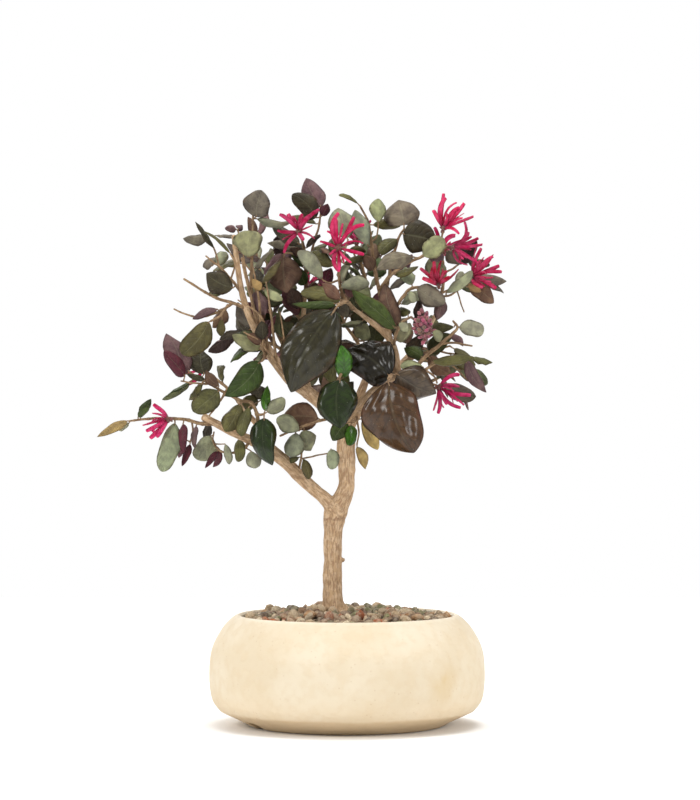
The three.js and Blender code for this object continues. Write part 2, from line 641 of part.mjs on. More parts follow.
// Flower heads at the back, which open along a direction of [column, row, front] from the heart.
const RULED_BLOOMS = {
  bloom_back_crown: { heart: [356, 242, -66], aim: [-4, -20, -22], petals: 8, length: 27 },
  bloom_back_right: { heart: [442, 252, -57.5], aim: [16, -20, -16], petals: 8, length: 26 },
  bloom_back_left: { heart: [201, 369, -63], aim: [-24, -8, -10], petals: 7, length: 26 },
  bloom_back_middle: { heart: [308, 286, -74], aim: [-6, -16, -24], petals: 7, length: 26 },
};
// The bunch of unopened buds: stalk, then the bunch's middle, half size and count.
const BUDS = {
  foot: [411, 317, 26],
  middle: [424, 327, 33],
  reach: [13, 14, 9],
  count: 16,
  radius: 2.6,
  seed: 31,
};

// Blades

// How wide a blade is at a share s of its length, from 0 to 1, widest at the share `widest`.
function outline(s, widest) {
  if (s <= 0 || s >= 1) return 0;
  return Math.pow(Math.pow(s / widest, widest) * Math.pow((1 - s) / (1 - widest), 1 - widest), 1.15);
}

// A blade's own frame: base, tip, across and normal, with how it bows along and cups across.
function bladeFrame(base, tip, width, roll, facing, widest) {
  const along = tip.clone().sub(base);
  const length = along.length();
  along.divideScalar(length);
  const level = facing.clone().addScaledVector(along, -facing.dot(along)).normalize();
  const normal = level.applyAxisAngle(along, THREE.MathUtils.degToRad(roll));
  const across = normal.clone().cross(along);
  return { base, along, across, normal, length, width, widest, bow: 0.07, cup: 0.22 };
}

// How far the blade's middle surface stands off its chord plane at share s along and share t across.
function rise(blade, s, t) {
  const half = 0.5 * blade.width * outline(s, blade.widest);
  return blade.bow * blade.length * 4 * s * (1 - s) - blade.cup * half * t * t;
}

function bladePoint(blade, s, t, lift) {
  const half = 0.5 * blade.width * outline(s, blade.widest);
  return blade.base
    .clone()
    .addScaledVector(blade.along, s * blade.length)
    .addScaledVector(blade.across, t * half)
    .addScaledVector(blade.normal, rise(blade, s, t) + lift);
}

// Whether a point lies in the blade's outline and within gap of its middle surface.
function touchesBlade(blade, point, gap) {
  const d = point.clone().sub(blade.base);
  const s = d.dot(blade.along) / blade.length;
  if (s < -0.03 || s > 1.03) return false;
  const half = 0.5 * blade.width * outline(s, blade.widest);
  const y = d.dot(blade.across);
  if (Math.abs(y) > half + 0.5 * gap) return false;
  const t = half > 0.3 ? THREE.MathUtils.clamp(y / half, -1, 1) : 0;
  return Math.abs(d.dot(blade.normal) - rise(blade, s, t)) < gap;
}

const SAMPLE_SPACING = 3; // mm between the points of a blade that are tested
function bladeSamples(blade) {
  const rows = Math.ceil(blade.length / SAMPLE_SPACING);
  const columns = Math.ceil((0.5 * blade.width) / SAMPLE_SPACING);
  const points = [];
  for (let i = 0; i <= rows; i++)
    for (let k = -columns; k <= columns; k++) points.push(bladePoint(blade, i / rows, k / columns, 0));
  return points;
}

// The leaf's solid, blade and stalk in one closed surface. Each face of the blade has the points of its
// edge, from one side of its neck round the tip to the other side, and a large blade has one more in its
// middle. Both faces are split alike. The stalk has four sides and ends at the foot, inside the stem.
function leafSolid(blade, foot) {
  const stations = EDGE_STATIONS.find(({ from }) => blade.length >= from).shares;
  const face = (lift) => [
    bladePoint(blade, 0, 0, lift).addScaledVector(blade.across, -PETIOLE_RADIUS),
    ...stations.map((s) => bladePoint(blade, s, -1, lift)),
    bladePoint(blade, 1, 0, lift),
    ...stations.toReversed().map((s) => bladePoint(blade, s, 1, lift)),
    bladePoint(blade, 0, 0, lift).addScaledVector(blade.across, PETIOLE_RADIUS),
  ];
  const rim = 2 * stations.length + 3;
  const middle = (lift) => (stations.length > 1 ? [bladePoint(blade, 0.5, 0, lift)] : []);
  const top = [...face(LEAF_THICKNESS / 2), ...middle(LEAF_THICKNESS / 2)];
  const bottom = [...face(-LEAF_THICKNESS / 2), ...middle(-LEAF_THICKNESS / 2)];
  const stalk = blade.base.clone().sub(foot).normalize();
  const side = blade.across.clone().addScaledVector(stalk, -blade.across.dot(stalk)).normalize();
  const up = stalk.clone().cross(side);
  const corners = [[-1, 1], [1, 1], [1, -1], [-1, -1]].map(([a, b]) =>
    foot.clone().addScaledVector(side, a * PETIOLE_RADIUS).addScaledVector(up, b * PETIOLE_RADIUS),
  );
  const faces = [];
  const under = top.length;
  for (let k = 0; k + 1 < rim; k++) faces.push([k, under + k, under + k + 1], [k, under + k + 1, k + 1]);
  const split = stations.length > 1 ? fan(rim) : [[0, 1, 2], [0, 2, 4], [2, 3, 4]];
  for (const [i, j, k] of split) faces.push([i, j, k], [under + i, under + k, under + j]);
  const neck = [0, rim - 1, under + rim - 1, under];
  const end = 2 * under;
  for (let k = 0; k < 4; k++) {
    const next = (k + 1) % 4;
    faces.push([neck[k], neck[next], end + next], [neck[k], end + next, end + k]);
  }
  faces.push([end, end + 1, end + 2], [end, end + 2, end + 3]);
  return solidOf(surface([...top, ...bottom, ...corners], faces));
}

// Triangles from each side of a rim to the point that follows the rim's points.
function fan(rim) {
  return Array.from({ length: rim }, (_, k) => [k, (k + 1) % rim, rim]);
}

// Placing leaves clear of one another

const ROD_SPACING = 2; // mm
const rods = []; // points along every stem and petal: { point, radius, owner }
const blades = []; // leaves that are placed: { blade, samples }

function addRods(rings, owner) {
  rings.slice(1).forEach((ring, i) => {
    const before = rings[i];
    const steps = Math.ceil(before.point.distanceTo(ring.point) / ROD_SPACING);
    for (let k = 0; k <= steps; k++) {
      const point = before.point.clone().lerp(ring.point, k / steps);
      rods.push({ point, radius: THREE.MathUtils.lerp(before.radius, ring.radius, k / steps), owner });
    }
  });
}

// Where a leaf's stalk meets its stems: the nearest point that lies behind the leaf's base.
function footOf(blade, stems) {
  let best = null;
  for (const rings of stems)
    for (let i = 0; i + 1 < rings.length; i++)
      for (let k = 0; k <= 6; k++) {
        const point = rings[i].point.clone().lerp(rings[i + 1].point, k / 6);
        const stalk = blade.base.clone().sub(point);
        const distance = stalk.length();
        if (distance < 0.8 || stalk.dot(blade.along) < LEAST_COSINE * distance) continue;
        if (!best || distance < best.distance) best = { point, distance };
      }
  return best && best.distance < LONGEST_STALK ? best.point : null;
}

const LEAST_COSINE = 0.3; // between a leaf's stalk and its blade
const LONGEST_STALK = 12; // mm
const ATTACHED = 5; // mm round a leaf's foot where its own stem may touch it

function isClear(blade, samples, foot, owner) {
  const reach = blade.length + 4;
  const stalk = new THREE.Line3(foot, blade.base);
  const near = new THREE.Vector3();
  for (const other of blades) {
    if (other.blade.base.distanceTo(blade.base) > other.blade.length + reach) continue;
    if (other.samples.some((p) => touchesBlade(blade, p, LEAF_GAP))) return false;
    if (samples.some((p) => touchesBlade(other.blade, p, LEAF_GAP))) return false;
  }
  for (const rod of rods) {
    if (rod.point.distanceTo(blade.base) > reach) continue;
    if (rod.owner === owner && rod.point.distanceTo(foot) < ATTACHED + rod.radius) continue;
    if (touchesBlade(blade, rod.point, rod.radius + 0.9)) return false;
    if (rod.owner === owner) continue;
    stalk.closestPointToPoint(rod.point, true, near);
    if (near.distanceTo(rod.point) < rod.radius + 1) return false;
  }
  return true;
}

// Places a leaf at the first of its candidates that is clear of everything placed before it, and returns
// its solid.
function settle(candidates, stems, owner) {
  for (const blade of candidates) {
    const foot = footOf(blade, stems);
    if (!foot) continue;
    const samples = bladeSamples(blade);
    for (let k = 0; k <= 3; k++) samples.push(blade.base.clone().lerp(foot, k / 5));
    if (!isClear(blade, samples, foot, owner)) continue;
    blades.push({ blade, samples });
    return leafSolid(blade, foot);
  }
  return null;
}

const TOWARDS_VIEWER = new THREE.Vector3(0, -1, 0);
// How many steps a crowded leaf's tip moves in depth, tried in this order
const NUDGES = [0, 5, -5, 9, -9, 14, -14, 19, -19, 25, -25, 32, -32];

function* handLeaf([c0, r0, f0, c1, r1, f1, width, roll, finish], draw) {
  const widest = SPOON.has(finish) ? 0.62 : 0.46;
  const lean = LEAN * (f1 - f0) + draw(-LEAN_SPREAD, LEAN_SPREAD);
  for (const size of [1, 0.85])
    for (const nudge of NUDGES) {
      const base = seen(c0, r0, f0 + 0.3 * nudge);
      const tip = seen(c1, r1, f0 + lean + nudge);
      tip.sub(base).multiplyScalar(size).add(base);
      yield bladeFrame(base, tip, width * STEP * size, roll, TOWARDS_VIEWER, widest);
    }
}
const LEAN = 1.7; // how much deeper a leaf leans than its listed ends
const LEAN_SPREAD = 7; // steps
const SPOON = new Set(["sage", "olive", "lime"]); // finishes whose leaves are widest past the middle

// A ruled leaf leaves its twig at a golden angle, leans outwards and holds its face to the light.
function* ruledLeaf({ point, along }, turn, draw) {
  const length = draw(...RULE.leafLength) * STEP;
  const roll = draw(-35, 35);
  const lean = draw(0.6, 1.1);
  const outwards = point.clone().sub(CANOPY_MIDDLE).normalize();
  const side = new THREE.Vector3(0, 0, 1).cross(along).normalize();
  const facing = outwards.clone().add(new THREE.Vector3(0, 0, 0.9));
  for (let attempt = 0; attempt < 9; attempt++) {
    const spoke = side.clone().applyAxisAngle(along, THREE.MathUtils.degToRad(turn + 41 * attempt));
    const way = spoke.multiplyScalar(lean).addScaledVector(along, 0.55).addScaledVector(outwards, 0.45);
    way.normalize();
    const base = point.clone().addScaledVector(way, 3.2);
    const tip = base.clone().addScaledVector(way, length);
    yield bladeFrame(base, tip, length * RULE.leafWidth, roll, facing, 0.48);
  }
}

// The stem lines of a ruled spray: its own stem, and side twigs that lean outwards from it.
function ruledStems(stem, draw) {
  const main = stemLine(stem);
  const lines = [main];
  for (let k = 0; k < RULE.twigs; k++) {
    const { point } = pointOn(main, 0.25 + (0.6 * (k + 0.5)) / RULE.twigs);
    const outwards = point.clone().sub(CANOPY_MIDDLE).normalize();
    const spread = new THREE.Vector3(draw(-0.9, 0.9), draw(-0.6, 0.6), draw(-0.2, 0.9));
    const way = outwards.add(spread).normalize();
    const end = point.clone().addScaledVector(way, draw(...RULE.twigLength) * STEP);
    const middle = point.clone().lerp(end, 0.5);
    middle.z -= 0.05 * point.distanceTo(end);
    lines.push([
      { point, radius: 0.75 },
      { point: middle, radius: 0.62 },
      { point: end, radius: 0.5 },
    ]);
  }
  return lines;
}

// Petals

// A strap petal: a narrow strip with a keel below, along a gentle curve from the heart to its tip.
function petalRings(heart, tip) {
  const chord = tip.clone().sub(heart);
  const sag = new THREE.Vector3(0, 0, 0.09 * chord.length());
  return [HEART.root / chord.length(), 0.5, 1].map((share) => ({
    point: heart.clone().addScaledVector(chord, share).addScaledVector(sag, 4 * share * (1 - share)),
    radius: PETAL.width / 2,
  }));
}

function petalSolid(rings, turn) {
  const chord = rings[2].point.clone().sub(rings[0].point).normalize();
  const across = TOWARDS_VIEWER.clone().cross(chord);
  if (across.lengthSq() < 0.05) across.set(1, 0, 0).cross(chord);
  across.normalize().applyAxisAngle(chord, turn);
  const flat = chord.clone().cross(across);
  const corners = [[-0.5, 0.3], [0.5, 0.3], [0, -0.7]];
  const widths = [0.7, 1, 0.8];
  const points = rings.flatMap(({ point }, i) =>
    corners.map(([a, b]) =>
      point
        .clone()
        .addScaledVector(across, a * PETAL.width * widths[i])
        .addScaledVector(flat, b * PETAL.thickness),
    ),
  );
  const faces = [[0, 1, 2], [6, 8, 7]];
  for (let i = 0; i < 2; i++)
    for (let k = 0; k < 3; k++) {
      const next = (k + 1) % 3;
      faces.push([3 * i + k, 3 * i + 3 + next, 3 * i + next], [3 * i + k, 3 * i + 3 + k, 3 * i + 3 + next]);
    }
  return solidOf(surface(points, faces));
}

// Nodes

const group = new THREE.Group();

function addNode(name, finish, raw) {
  const solid = largest(raw.asOriginal().simplify(SLIVER));
  const mesh = new THREE.Mesh(geometryOf(solid), new THREE.MeshStandardMaterial(COLOURS[finish]));
  mesh.name = name;
  group.add(mesh);
}

// Pot: a closed profile of [radius, height] turned round the axis, with two drain holes that each open into
// a groove across the base.
const POT_SIDES = 32;
const POT_PROFILE = [
  [0, 0], [62.5, 0], [79.4, 8.8], [83.6, 14.5], [86, 26], [85.8, 41], [83.2, 50.5], [77.5, 60.5],
  [71.2, 66.9], [68.2, 68.4], [66.6, 67], [70.5, 59], [77.6, 46.5], [79.8, 33], [78.4, 20.5], [73, 11.8],
  [60, 8], [0, 8],
];
const DRAIN = { radius: 6, distance: 32, grooveWidth: 11, grooveDepth: 4.2, azimuth: 30 };

function lathe(profile, sides) {
  const points = profile.map(([r, z]) => new THREE.Vector2(r, z));
  return solidOf(new THREE.LatheGeometry(points, sides).rotateX(Math.PI / 2));
}

function box(width, depth, height, x, y, z, turn = 0) {
  return solidOf(new THREE.BoxGeometry(width, depth, height).rotateZ(turn).translate(x, y, z));
}

const drainSides = [0, 180].map((half) => THREE.MathUtils.degToRad(DRAIN.azimuth + half));

function makePot() {
  const cuts = drainSides.flatMap((turn) => {
    const [x, y] = [DRAIN.distance * Math.cos(turn), DRAIN.distance * Math.sin(turn)];
    const hole = new THREE.CylinderGeometry(DRAIN.radius, DRAIN.radius, 20, 16).rotateX(Math.PI / 2);
    const out = DRAIN.distance + 30;
    const [outX, outY] = [out * Math.cos(turn), out * Math.sin(turn)];
    const groove = box(60, DRAIN.grooveWidth, 2 * DRAIN.grooveDepth, outX, outY, 0, turn);
    return [solidOf(hole.translate(x, y, 6)), groove];
  });
  return lathe(POT_PROFILE, POT_SIDES).subtract(union(cuts));
}

// A square of plastic mesh over each drain hole, under the soil.
const SCREEN = { size: 21, thickness: 1, openings: 3, opening: 4.6, pitch: 6.2, floor: 8 };

function makeScreen(turn, grow = 0) {
  const [x, y] = [DRAIN.distance * Math.cos(turn), DRAIN.distance * Math.sin(turn)];
  const z = SCREEN.floor + CLEARANCE + SCREEN.thickness / 2;
  const size = SCREEN.size + 2 * grow;
  const plate = box(size, size, SCREEN.thickness + 2 * grow, x, y, z, turn);
  if (grow) return plate;
  const holes = [];
  for (let i = 0; i < SCREEN.openings; i++)
    for (let k = 0; k < SCREEN.openings; k++) {
      const [a, b] = [i, k].map((n) => (n - (SCREEN.openings - 1) / 2) * SCREEN.pitch);
      const [c, s] = [Math.cos(turn), Math.sin(turn)];
      holes.push(box(SCREEN.opening, SCREEN.opening, 4, x + a * c - b * s, y + a * s + b * c, z, turn));
    }
  return plate.subtract(union(holes));
}

// The wood: roots, trunk and branches joined in one solid. grow makes a copy that is larger all round, for
// cutting.
function rootRings(k) {
  const turn = THREE.MathUtils.degToRad(ROOTS.start + (360 / ROOTS.count) * k);
  const foot = seen(...WOOD.trunk[0].slice(0, 3));
  return [0, 0.5, 1].map((share) => ({
    point: new THREE.Vector3(
      foot.x + Math.cos(turn + 0.5 * share) * (2 + ROOTS.length * share),
      foot.y + Math.sin(turn + 0.5 * share) * (2 + ROOTS.length * share),
      ROOTS.top - ROOTS.drop * share * share,
    ),
    radius: THREE.MathUtils.lerp(ROOTS.radius, ROOTS.tip, share),
  }));
}

const woodLines = Object.fromEntries(
  Object.entries(WOOD).map(([name, stations]) => [name, stemLine(stations)]),
);

function makeWood(grow = 0) {
  const sides = (name) => WOOD_SIDES[name] ?? BRANCH_SIDES;
  const tubes = Object.entries(woodLines).map(([name, rings]) => tube(rings, sides(name), grow));
  for (let k = 0; k < ROOTS.count; k++) tubes.push(tube(rootRings(k), BRANCH_SIDES, grow));
  return union(tubes);
}

// Soil and gravel: the soil fills the pot inside its wall, and the gravel lies on it as a bed with stones.
const SOIL_GAP = 0.35; // to the pot's faceted wall
const BED = { edgeRadius: 67.4, edgeHeight: 62, rise: 4.4, thickness: 2 };
const STONES = { rings: 9, low: 2.2, high: 4.6, seed: 11 }; // how far the stones' tops stand above the dips

const soilTop = (r) => BED.edgeHeight + BED.rise * (1 - r / BED.edgeRadius);

function makeSoil(wood) {
  const wall = POT_PROFILE.slice(-7, -1).reverse();
  const profile = [
    [0, 8 + CLEARANCE],
    ...wall.map(([r, z]) => [r - SOIL_GAP, Math.max(z, 8 + CLEARANCE)]),
    [BED.edgeRadius, soilTop(BED.edgeRadius)],
    [0, soilTop(0)],
  ];
  const cuts = [wood, ...drainSides.map((turn) => makeScreen(turn, CLEARANCE))];
  return lathe(profile, 16).subtract(union(cuts));
}

// The gravel: a bed whose top is raised in close-packed stones. Ring i of its points has 6 i points, and
// every third point of a diagonal is a stone's top, with the points round it in the dips.
function makeGravel(wood) {
  const draw = draws(STONES.seed);
  const bottom = (r) => soilTop(r) + CLEARANCE;
  const rim = BED.edgeRadius - 0.5;
  const step = rim / STONES.rings;
  const start = (ring) => (ring ? 1 + 3 * ring * (ring - 1) : 0);
  const top = [];
  for (let ring = 0; ring <= STONES.rings; ring++)
    for (let k = 0; k < Math.max(1, 6 * ring); k++) {
      const outer = ring === STONES.rings;
      const place = k % Math.max(1, ring);
      const isTop = (ring + place) % 3 === 0;
      const turn = (2 * Math.PI * (k + (outer ? 0 : draw(-0.2, 0.2)))) / Math.max(1, 6 * ring);
      const r = ring * step + (outer || !ring ? 0 : draw(-0.22, 0.22) * step);
      const lift = isTop && !outer ? draw(STONES.low, STONES.high) : draw(0, 0.5);
      top.push(new THREE.Vector3(r * Math.cos(turn), r * Math.sin(turn), bottom(r) + BED.thickness + lift));
    }
  const faces = [];
  for (let ring = 1; ring <= STONES.rings; ring++) {
    const [inner, outer] = [start(ring - 1), start(ring)];
    const [innerCount, outerCount] = [Math.max(1, 6 * (ring - 1)), 6 * ring];
    for (let side = 0; side < 6; side++)
      for (let place = 0; place < ring; place++) {
        const a = outer + side * ring + place;
        const b = outer + ((side * ring + place + 1) % outerCount);
        const c = inner + ((side * (ring - 1) + place) % innerCount);
        faces.push([c, a, b]);
        if (place + 1 < ring) faces.push([c, b, inner + ((side * (ring - 1) + place + 1) % innerCount)]);
      }
  }
  const edge = start(STONES.rings);
  const edgeCount = 6 * STONES.rings;
  const low = top.slice(edge).map((point) => new THREE.Vector3(point.x, point.y, bottom(rim)));
  const under = top.length;
  const centre = under + edgeCount;
  for (let k = 0; k < edgeCount; k++) {
    const next = (k + 1) % edgeCount;
    faces.push([edge + k, under + k, under + next], [edge + k, under + next, edge + next]);
    faces.push([centre, under + next, under + k]);
  }
  const bed = solidOf(surface([...top, ...low, new THREE.Vector3(0, 0, bottom(0))], faces));
  return bed.subtract(wood);
}

const wood = makeWood();
const woodWithRoom = makeWood(ROOM);
addNode("pot", "pot", makePot());
drainSides.forEach((turn, k) => addNode(`drain_screen_${k + 1}`, "screen", makeScreen(turn)));
addNode("soil", "soil", makeSoil(woodWithRoom));
addNode("gravel", "gravel", makeGravel(woodWithRoom));
addNode("trunk", "bark", wood);

// Stems and petals are noted before any leaf is placed, so that the leaves keep clear of them.
Object.values(woodLines).forEach((rings) => addRods(rings, "wood"));
const sprayStems = {};
for (const [name, { stems }] of Object.entries(SPRAYS)) sprayStems[name] = stems.map(stemLine);
const ruleDraw = draws(RULE.seed);
for (const [name, stem] of Object.entries(RULED_SPRAYS))
  sprayStems[`ruled_${name}`] = ruledStems(stem, ruleDraw);
for (const [name, lines] of Object.entries(sprayStems)) lines.forEach((rings) => addRods(rings, name));

// A ruled bloom's petal tips: a golden-angle fan round its aim.
function ruledTips({ heart, aim, petals, length }, draw) {
  const middle = seen(...heart);
  const axis = new THREE.Vector3(aim[0], -aim[2], -aim[1]).normalize();
  const side = new THREE.Vector3(1, 0, 0).cross(axis).normalize();
  const tips = [];
  for (let k = 0; k < petals; k++) {
    const spread = THREE.MathUtils.degToRad(18 + (72 * (k + 0.5)) / petals);
    const turn = THREE.MathUtils.degToRad(k * RULE.goldenAngle);
    const spoke = side.clone().applyAxisAngle(axis, turn);
    const way = axis.clone().multiplyScalar(Math.cos(spread)).addScaledVector(spoke, Math.sin(spread));
    tips.push(middle.clone().addScaledVector(way, length * STEP * draw(0.8, 1.1)));
  }
  return tips;
}

const bloomDraw = draws(23);
const bloomPetals = {};
const bloomHearts = {};
for (const [name, { heart }] of Object.entries({ ...BLOOMS, ...RULED_BLOOMS }))
  bloomHearts[name] = seen(...heart);
for (const [name, { heart, petals }] of Object.entries(BLOOMS))
  bloomPetals[name] = petals.map((tip) => petalRings(seen(...heart), seen(...tip)));
for (const [name, bloom] of Object.entries(RULED_BLOOMS))
  bloomPetals[name] = ruledTips(bloom, bloomDraw).map((tip) => petalRings(seen(...bloom.heart), tip));
for (const [name, petals] of Object.entries(bloomPetals)) {
  petals.forEach((rings) => addRods(rings, name));
  rods.push({ point: bloomHearts[name], radius: HEART.radius, owner: name });
}

// The bunch of buds: small ovals round a short stalk, placed by a golden-angle spiral.
function budPlaces() {
  const draw = draws(BUDS.seed);
  const [c, r, f] = BUDS.middle;
  return Array.from({ length: BUDS.count }, (_, k) => {
    const height = 1 - (2 * (k + 0.5)) / BUDS.count;
    const turn = THREE.MathUtils.degToRad(k * RULE.goldenAngle);
    const ring = Math.sqrt(1 - height * height) * draw(0.7, 1);
    return seen(
      c + BUDS.reach[0] * ring * Math.cos(turn),
      r - BUDS.reach[1] * height * draw(0.85, 1.1),
      f + BUDS.reach[2] * ring * Math.sin(turn),
    );
  });
}
const budPoints = budPlaces();
const budFoot = seen(...BUDS.foot);
const budMiddle = seen(...BUDS.middle);
budPoints.forEach((point) => rods.push({ point, radius: BUDS.radius, owner: "buds" }));

// Leafy sprays: stems, leaf stalks and blades in one solid for each spray, cut to fit over the wood.
const spraySolids = {};
const leafDraw = draws(41);
for (const [name, { leaves }] of Object.entries(SPRAYS)) {
  const solids = leaves.map((leaf) => settle(handLeaf(leaf, leafDraw), sprayStems[name], name));
  spraySolids[name] = solids.filter(Boolean);
}
for (const name of Object.keys(RULED_SPRAYS)) {
  const key = `ruled_${name}`;
  const solids = [];
  for (const rings of sprayStems[key]) {
    const count = Math.max(2, Math.floor(pointOn(rings, 1).total / STEP / RULE.leafSpacing + 0.5));
    for (let k = 1; k <= count; k++) {
      const leaf = settle(ruledLeaf(pointOn(rings, k / count), k * RULE.goldenAngle, ruleDraw), [rings], key);
      if (leaf) solids.push(leaf);
    }
  }
  spraySolids[key] = solids;
}
const stemSides = (rings) => (rings[0].radius > 0.9 ? 4 : 3);
const sprayRoom = [];
for (const [name, solids] of Object.entries(spraySolids)) {
  const stems = sprayStems[name].map((rings) => tube(rings, stemSides(rings)));
  sprayRoom.push(...sprayStems[name].map((rings) => tube(rings, stemSides(rings), ROOM)));
  const spray = union([...stems, ...solids]).subtract(woodWithRoom);
  const other = Object.keys(spraySolids).indexOf(name) % 2 ? "leaf_green" : "leaf_purple";
  const finish = SPRAYS[name]?.finish ?? other;
  addNode(name.startsWith("ruled_") ? `spray_${name.slice(6)}` : `spray_${name}`, finish, spray);
}
const stemsWithRoom = union(sprayRoom);

// Blooms: strap petals joined at a small heart.
for (const [name, petals] of Object.entries(bloomPetals)) {
  const heart = bloomHearts[name];
  const core = solidOf(new THREE.IcosahedronGeometry(HEART.radius, 0).translate(heart.x, heart.y, heart.z));
  const straps = petals.map((rings, k) => petalSolid(rings, 0.5 * Math.sin(2.4 * k)));
  addNode(name, "petal", union([core, ...straps]).subtract(stemsWithRoom));
}

const budOvals = budPoints.map((point) => {
  const oval = new THREE.OctahedronGeometry(1, 0).scale(2.2, 2.2, 2.9);
  return solidOf(oval.translate(point.x, point.y, point.z));
});
const [budWidth, budHeight, budDepth] = BUDS.reach.map((steps) => steps * STEP);
const budCore = new THREE.IcosahedronGeometry(1, 0).scale(budWidth, budDepth, budHeight);
const budHead = solidOf(budCore.translate(budMiddle.x, budMiddle.y, budMiddle.z));
const budStem = tube([{ point: budFoot, radius: 0.8 }, { point: budMiddle, radius: 0.8 }], 4);
addNode("bud_bunch", "bud", union([budStem, budHead, ...budOvals]).subtract(stemsWithRoom));

export default group;
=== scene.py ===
# %% [markdown]
# # A flowering fringe-flower bonsai in a low stoneware pot
#
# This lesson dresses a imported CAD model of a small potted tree. The model is a fixed frame. It gives every
# piece its place and its size, in metres, with +Z up and the middle of the pot's base on the table.
# Each piece made here stands for one CAD node and stays where that node is.
#
# The tree is mostly repeated things: leaves, twigs, petals and stones. So the lesson writes each kind of
# thing as one formula on a grid of numbers and lets numpy work out all its copies together.

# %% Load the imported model
import math

import bpy
import numpy as np
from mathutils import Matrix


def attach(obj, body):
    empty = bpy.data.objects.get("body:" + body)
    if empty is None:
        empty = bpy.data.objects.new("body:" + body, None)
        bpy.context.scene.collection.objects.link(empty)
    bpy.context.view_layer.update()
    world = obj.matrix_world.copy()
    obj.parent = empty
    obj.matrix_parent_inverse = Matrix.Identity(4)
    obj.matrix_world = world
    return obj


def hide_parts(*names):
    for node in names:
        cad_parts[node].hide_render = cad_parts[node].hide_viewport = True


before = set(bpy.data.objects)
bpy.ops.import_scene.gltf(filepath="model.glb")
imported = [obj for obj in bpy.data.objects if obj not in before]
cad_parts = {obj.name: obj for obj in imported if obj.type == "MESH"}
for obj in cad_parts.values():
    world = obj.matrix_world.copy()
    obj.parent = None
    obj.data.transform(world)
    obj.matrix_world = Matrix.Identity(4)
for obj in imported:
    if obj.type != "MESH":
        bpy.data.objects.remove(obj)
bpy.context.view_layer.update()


# %% [markdown]
# ## The front elevation
#
# A tree is easiest to set out on a front view, so its stems, leaves and petals are listed as columns and
# rows of one elevation, with a third number for how far each point stands forward. The lists below are the
# same as in the CAD source, so that the fine leaves lie where the plain ones do. The eye that drew the
# elevation stood two metres away, and the camera stands there too.

# %% From the elevation to points in millimetres
MM = 0.001
STEP = 0.625  # mm, one step of the elevation
AXIS_COLUMN = 347  # the pot's axis
TABLE_ROW = 724  # the table
EYE_COLUMN = 350
EYE_DISTANCE = 2000.0  # mm in front of the pot's axis
EYE_HEIGHT = 222.0  # mm above the table
GOLDEN_ANGLE = 137.508  # degrees from one leaf, stone or bud to the next
DRAW_FACTOR, DRAW_STEP, DRAW_RANGE = 1664525, 1013904223, 4294967296


def seen(places):
    """Points in mm for places of (column, row, front).

    Depth is front steps towards the eye. A nearer point is drawn larger, so its distance from the eye's
    own column and height shrinks in proportion to its distance from the eye.
    """
    places = np.asarray(places, dtype=float)
    y = -places[..., 2] * STEP
    scale = (EYE_DISTANCE + y) / EYE_DISTANCE
    x = (EYE_COLUMN - AXIS_COLUMN) * STEP + (places[..., 0] - EYE_COLUMN) * STEP * scale
    z = EYE_HEIGHT + ((TABLE_ROW - places[..., 1]) * STEP - EYE_HEIGHT) * scale
    return np.stack([x, y, z], axis=-1)


def placed_stem(stations):
    """The points and the radii in mm of stations (column, row, front, radius in steps)."""
    stations = np.array(stations, dtype=float)
    return seen(stations[:, :3]), stations[:, 3] * STEP


def draws(seed):
    """A function that draws numbers between two limits, the same ones on every run."""
    state = seed

    def draw(low, high):
        nonlocal state
        state = (state * DRAW_FACTOR + DRAW_STEP) % DRAW_RANGE
        return low + state / DRAW_RANGE * (high - low)

    return draw


EYE = ((EYE_COLUMN - AXIS_COLUMN) * STEP * MM, -EYE_DISTANCE * MM, EYE_HEIGHT * MM)
print("the eye stands at", EYE)

# %% [markdown]
# ## Camera, floor and light
#
# The photograph looks almost level at the pot, from so far away that the pot's rim is a thin ellipse. A
# long lens two metres off gives the same flat view. The light is that of a white studio tent: large soft
# panels on both sides and above, with a pale floor that throws light back up under the leaves.

# %% The camera
PICTURE_MIDDLE_ROW = 400
aim_height = (TABLE_ROW - PICTURE_MIDDLE_ROW) * STEP * MM


def put_in_scene(name, data):
    """A new object with this data, linked into the scene."""
    made = bpy.data.objects.new(name, data)
    bpy.context.scene.collection.objects.link(made)
    return made


camera_data = bpy.data.cameras.new("camera")
camera_data.lens = 144
camera_data.sensor_width = 36
camera_data.clip_start = 0.05
camera = put_in_scene("camera", camera_data)
camera.location = EYE
tilt = math.atan2(aim_height - camera.location.z, EYE_DISTANCE * MM)
camera.rotation_euler = (math.pi / 2 + tilt, 0, 0)
bpy.context.scene.camera = camera
camera_place = tuple(round(value, 4) for value in camera.location)
print("camera at", camera_place, "tilted", round(math.degrees(tilt), 2))

# %% Soft light panels and the pale floor
LIGHT_AIM = (0.0, 0.0, 0.18)


def add_panel(name, place, size, power, colour=(1, 1, 1)):
    """A square light of a given side and power that faces the tree."""
    data = bpy.data.lights.new(name, "AREA")
    data.shape = "SQUARE"
    data.size = size
    data.energy = power
    data.color = colour
    panel = put_in_scene(name, data)
    panel.location = place
    way = np.subtract(LIGHT_AIM, place)
    flat = math.hypot(way[0], way[1])
    panel.rotation_euler = (math.atan2(flat, -way[2]), 0, math.atan2(way[1], way[0]) - math.pi / 2)
    return panel


add_panel("panel_left", (-1.7, -1.25, 1.2), 0.8, 25, (1.0, 0.99, 0.97))
add_panel("panel_right", (1.75, -1.0, 0.9), 0.8, 17)
add_panel("panel_top", (0.1, 0.1, 1.8), 1.1, 26)
add_panel("panel_back", (-0.6, 1.6, 0.9), 1.0, 12)

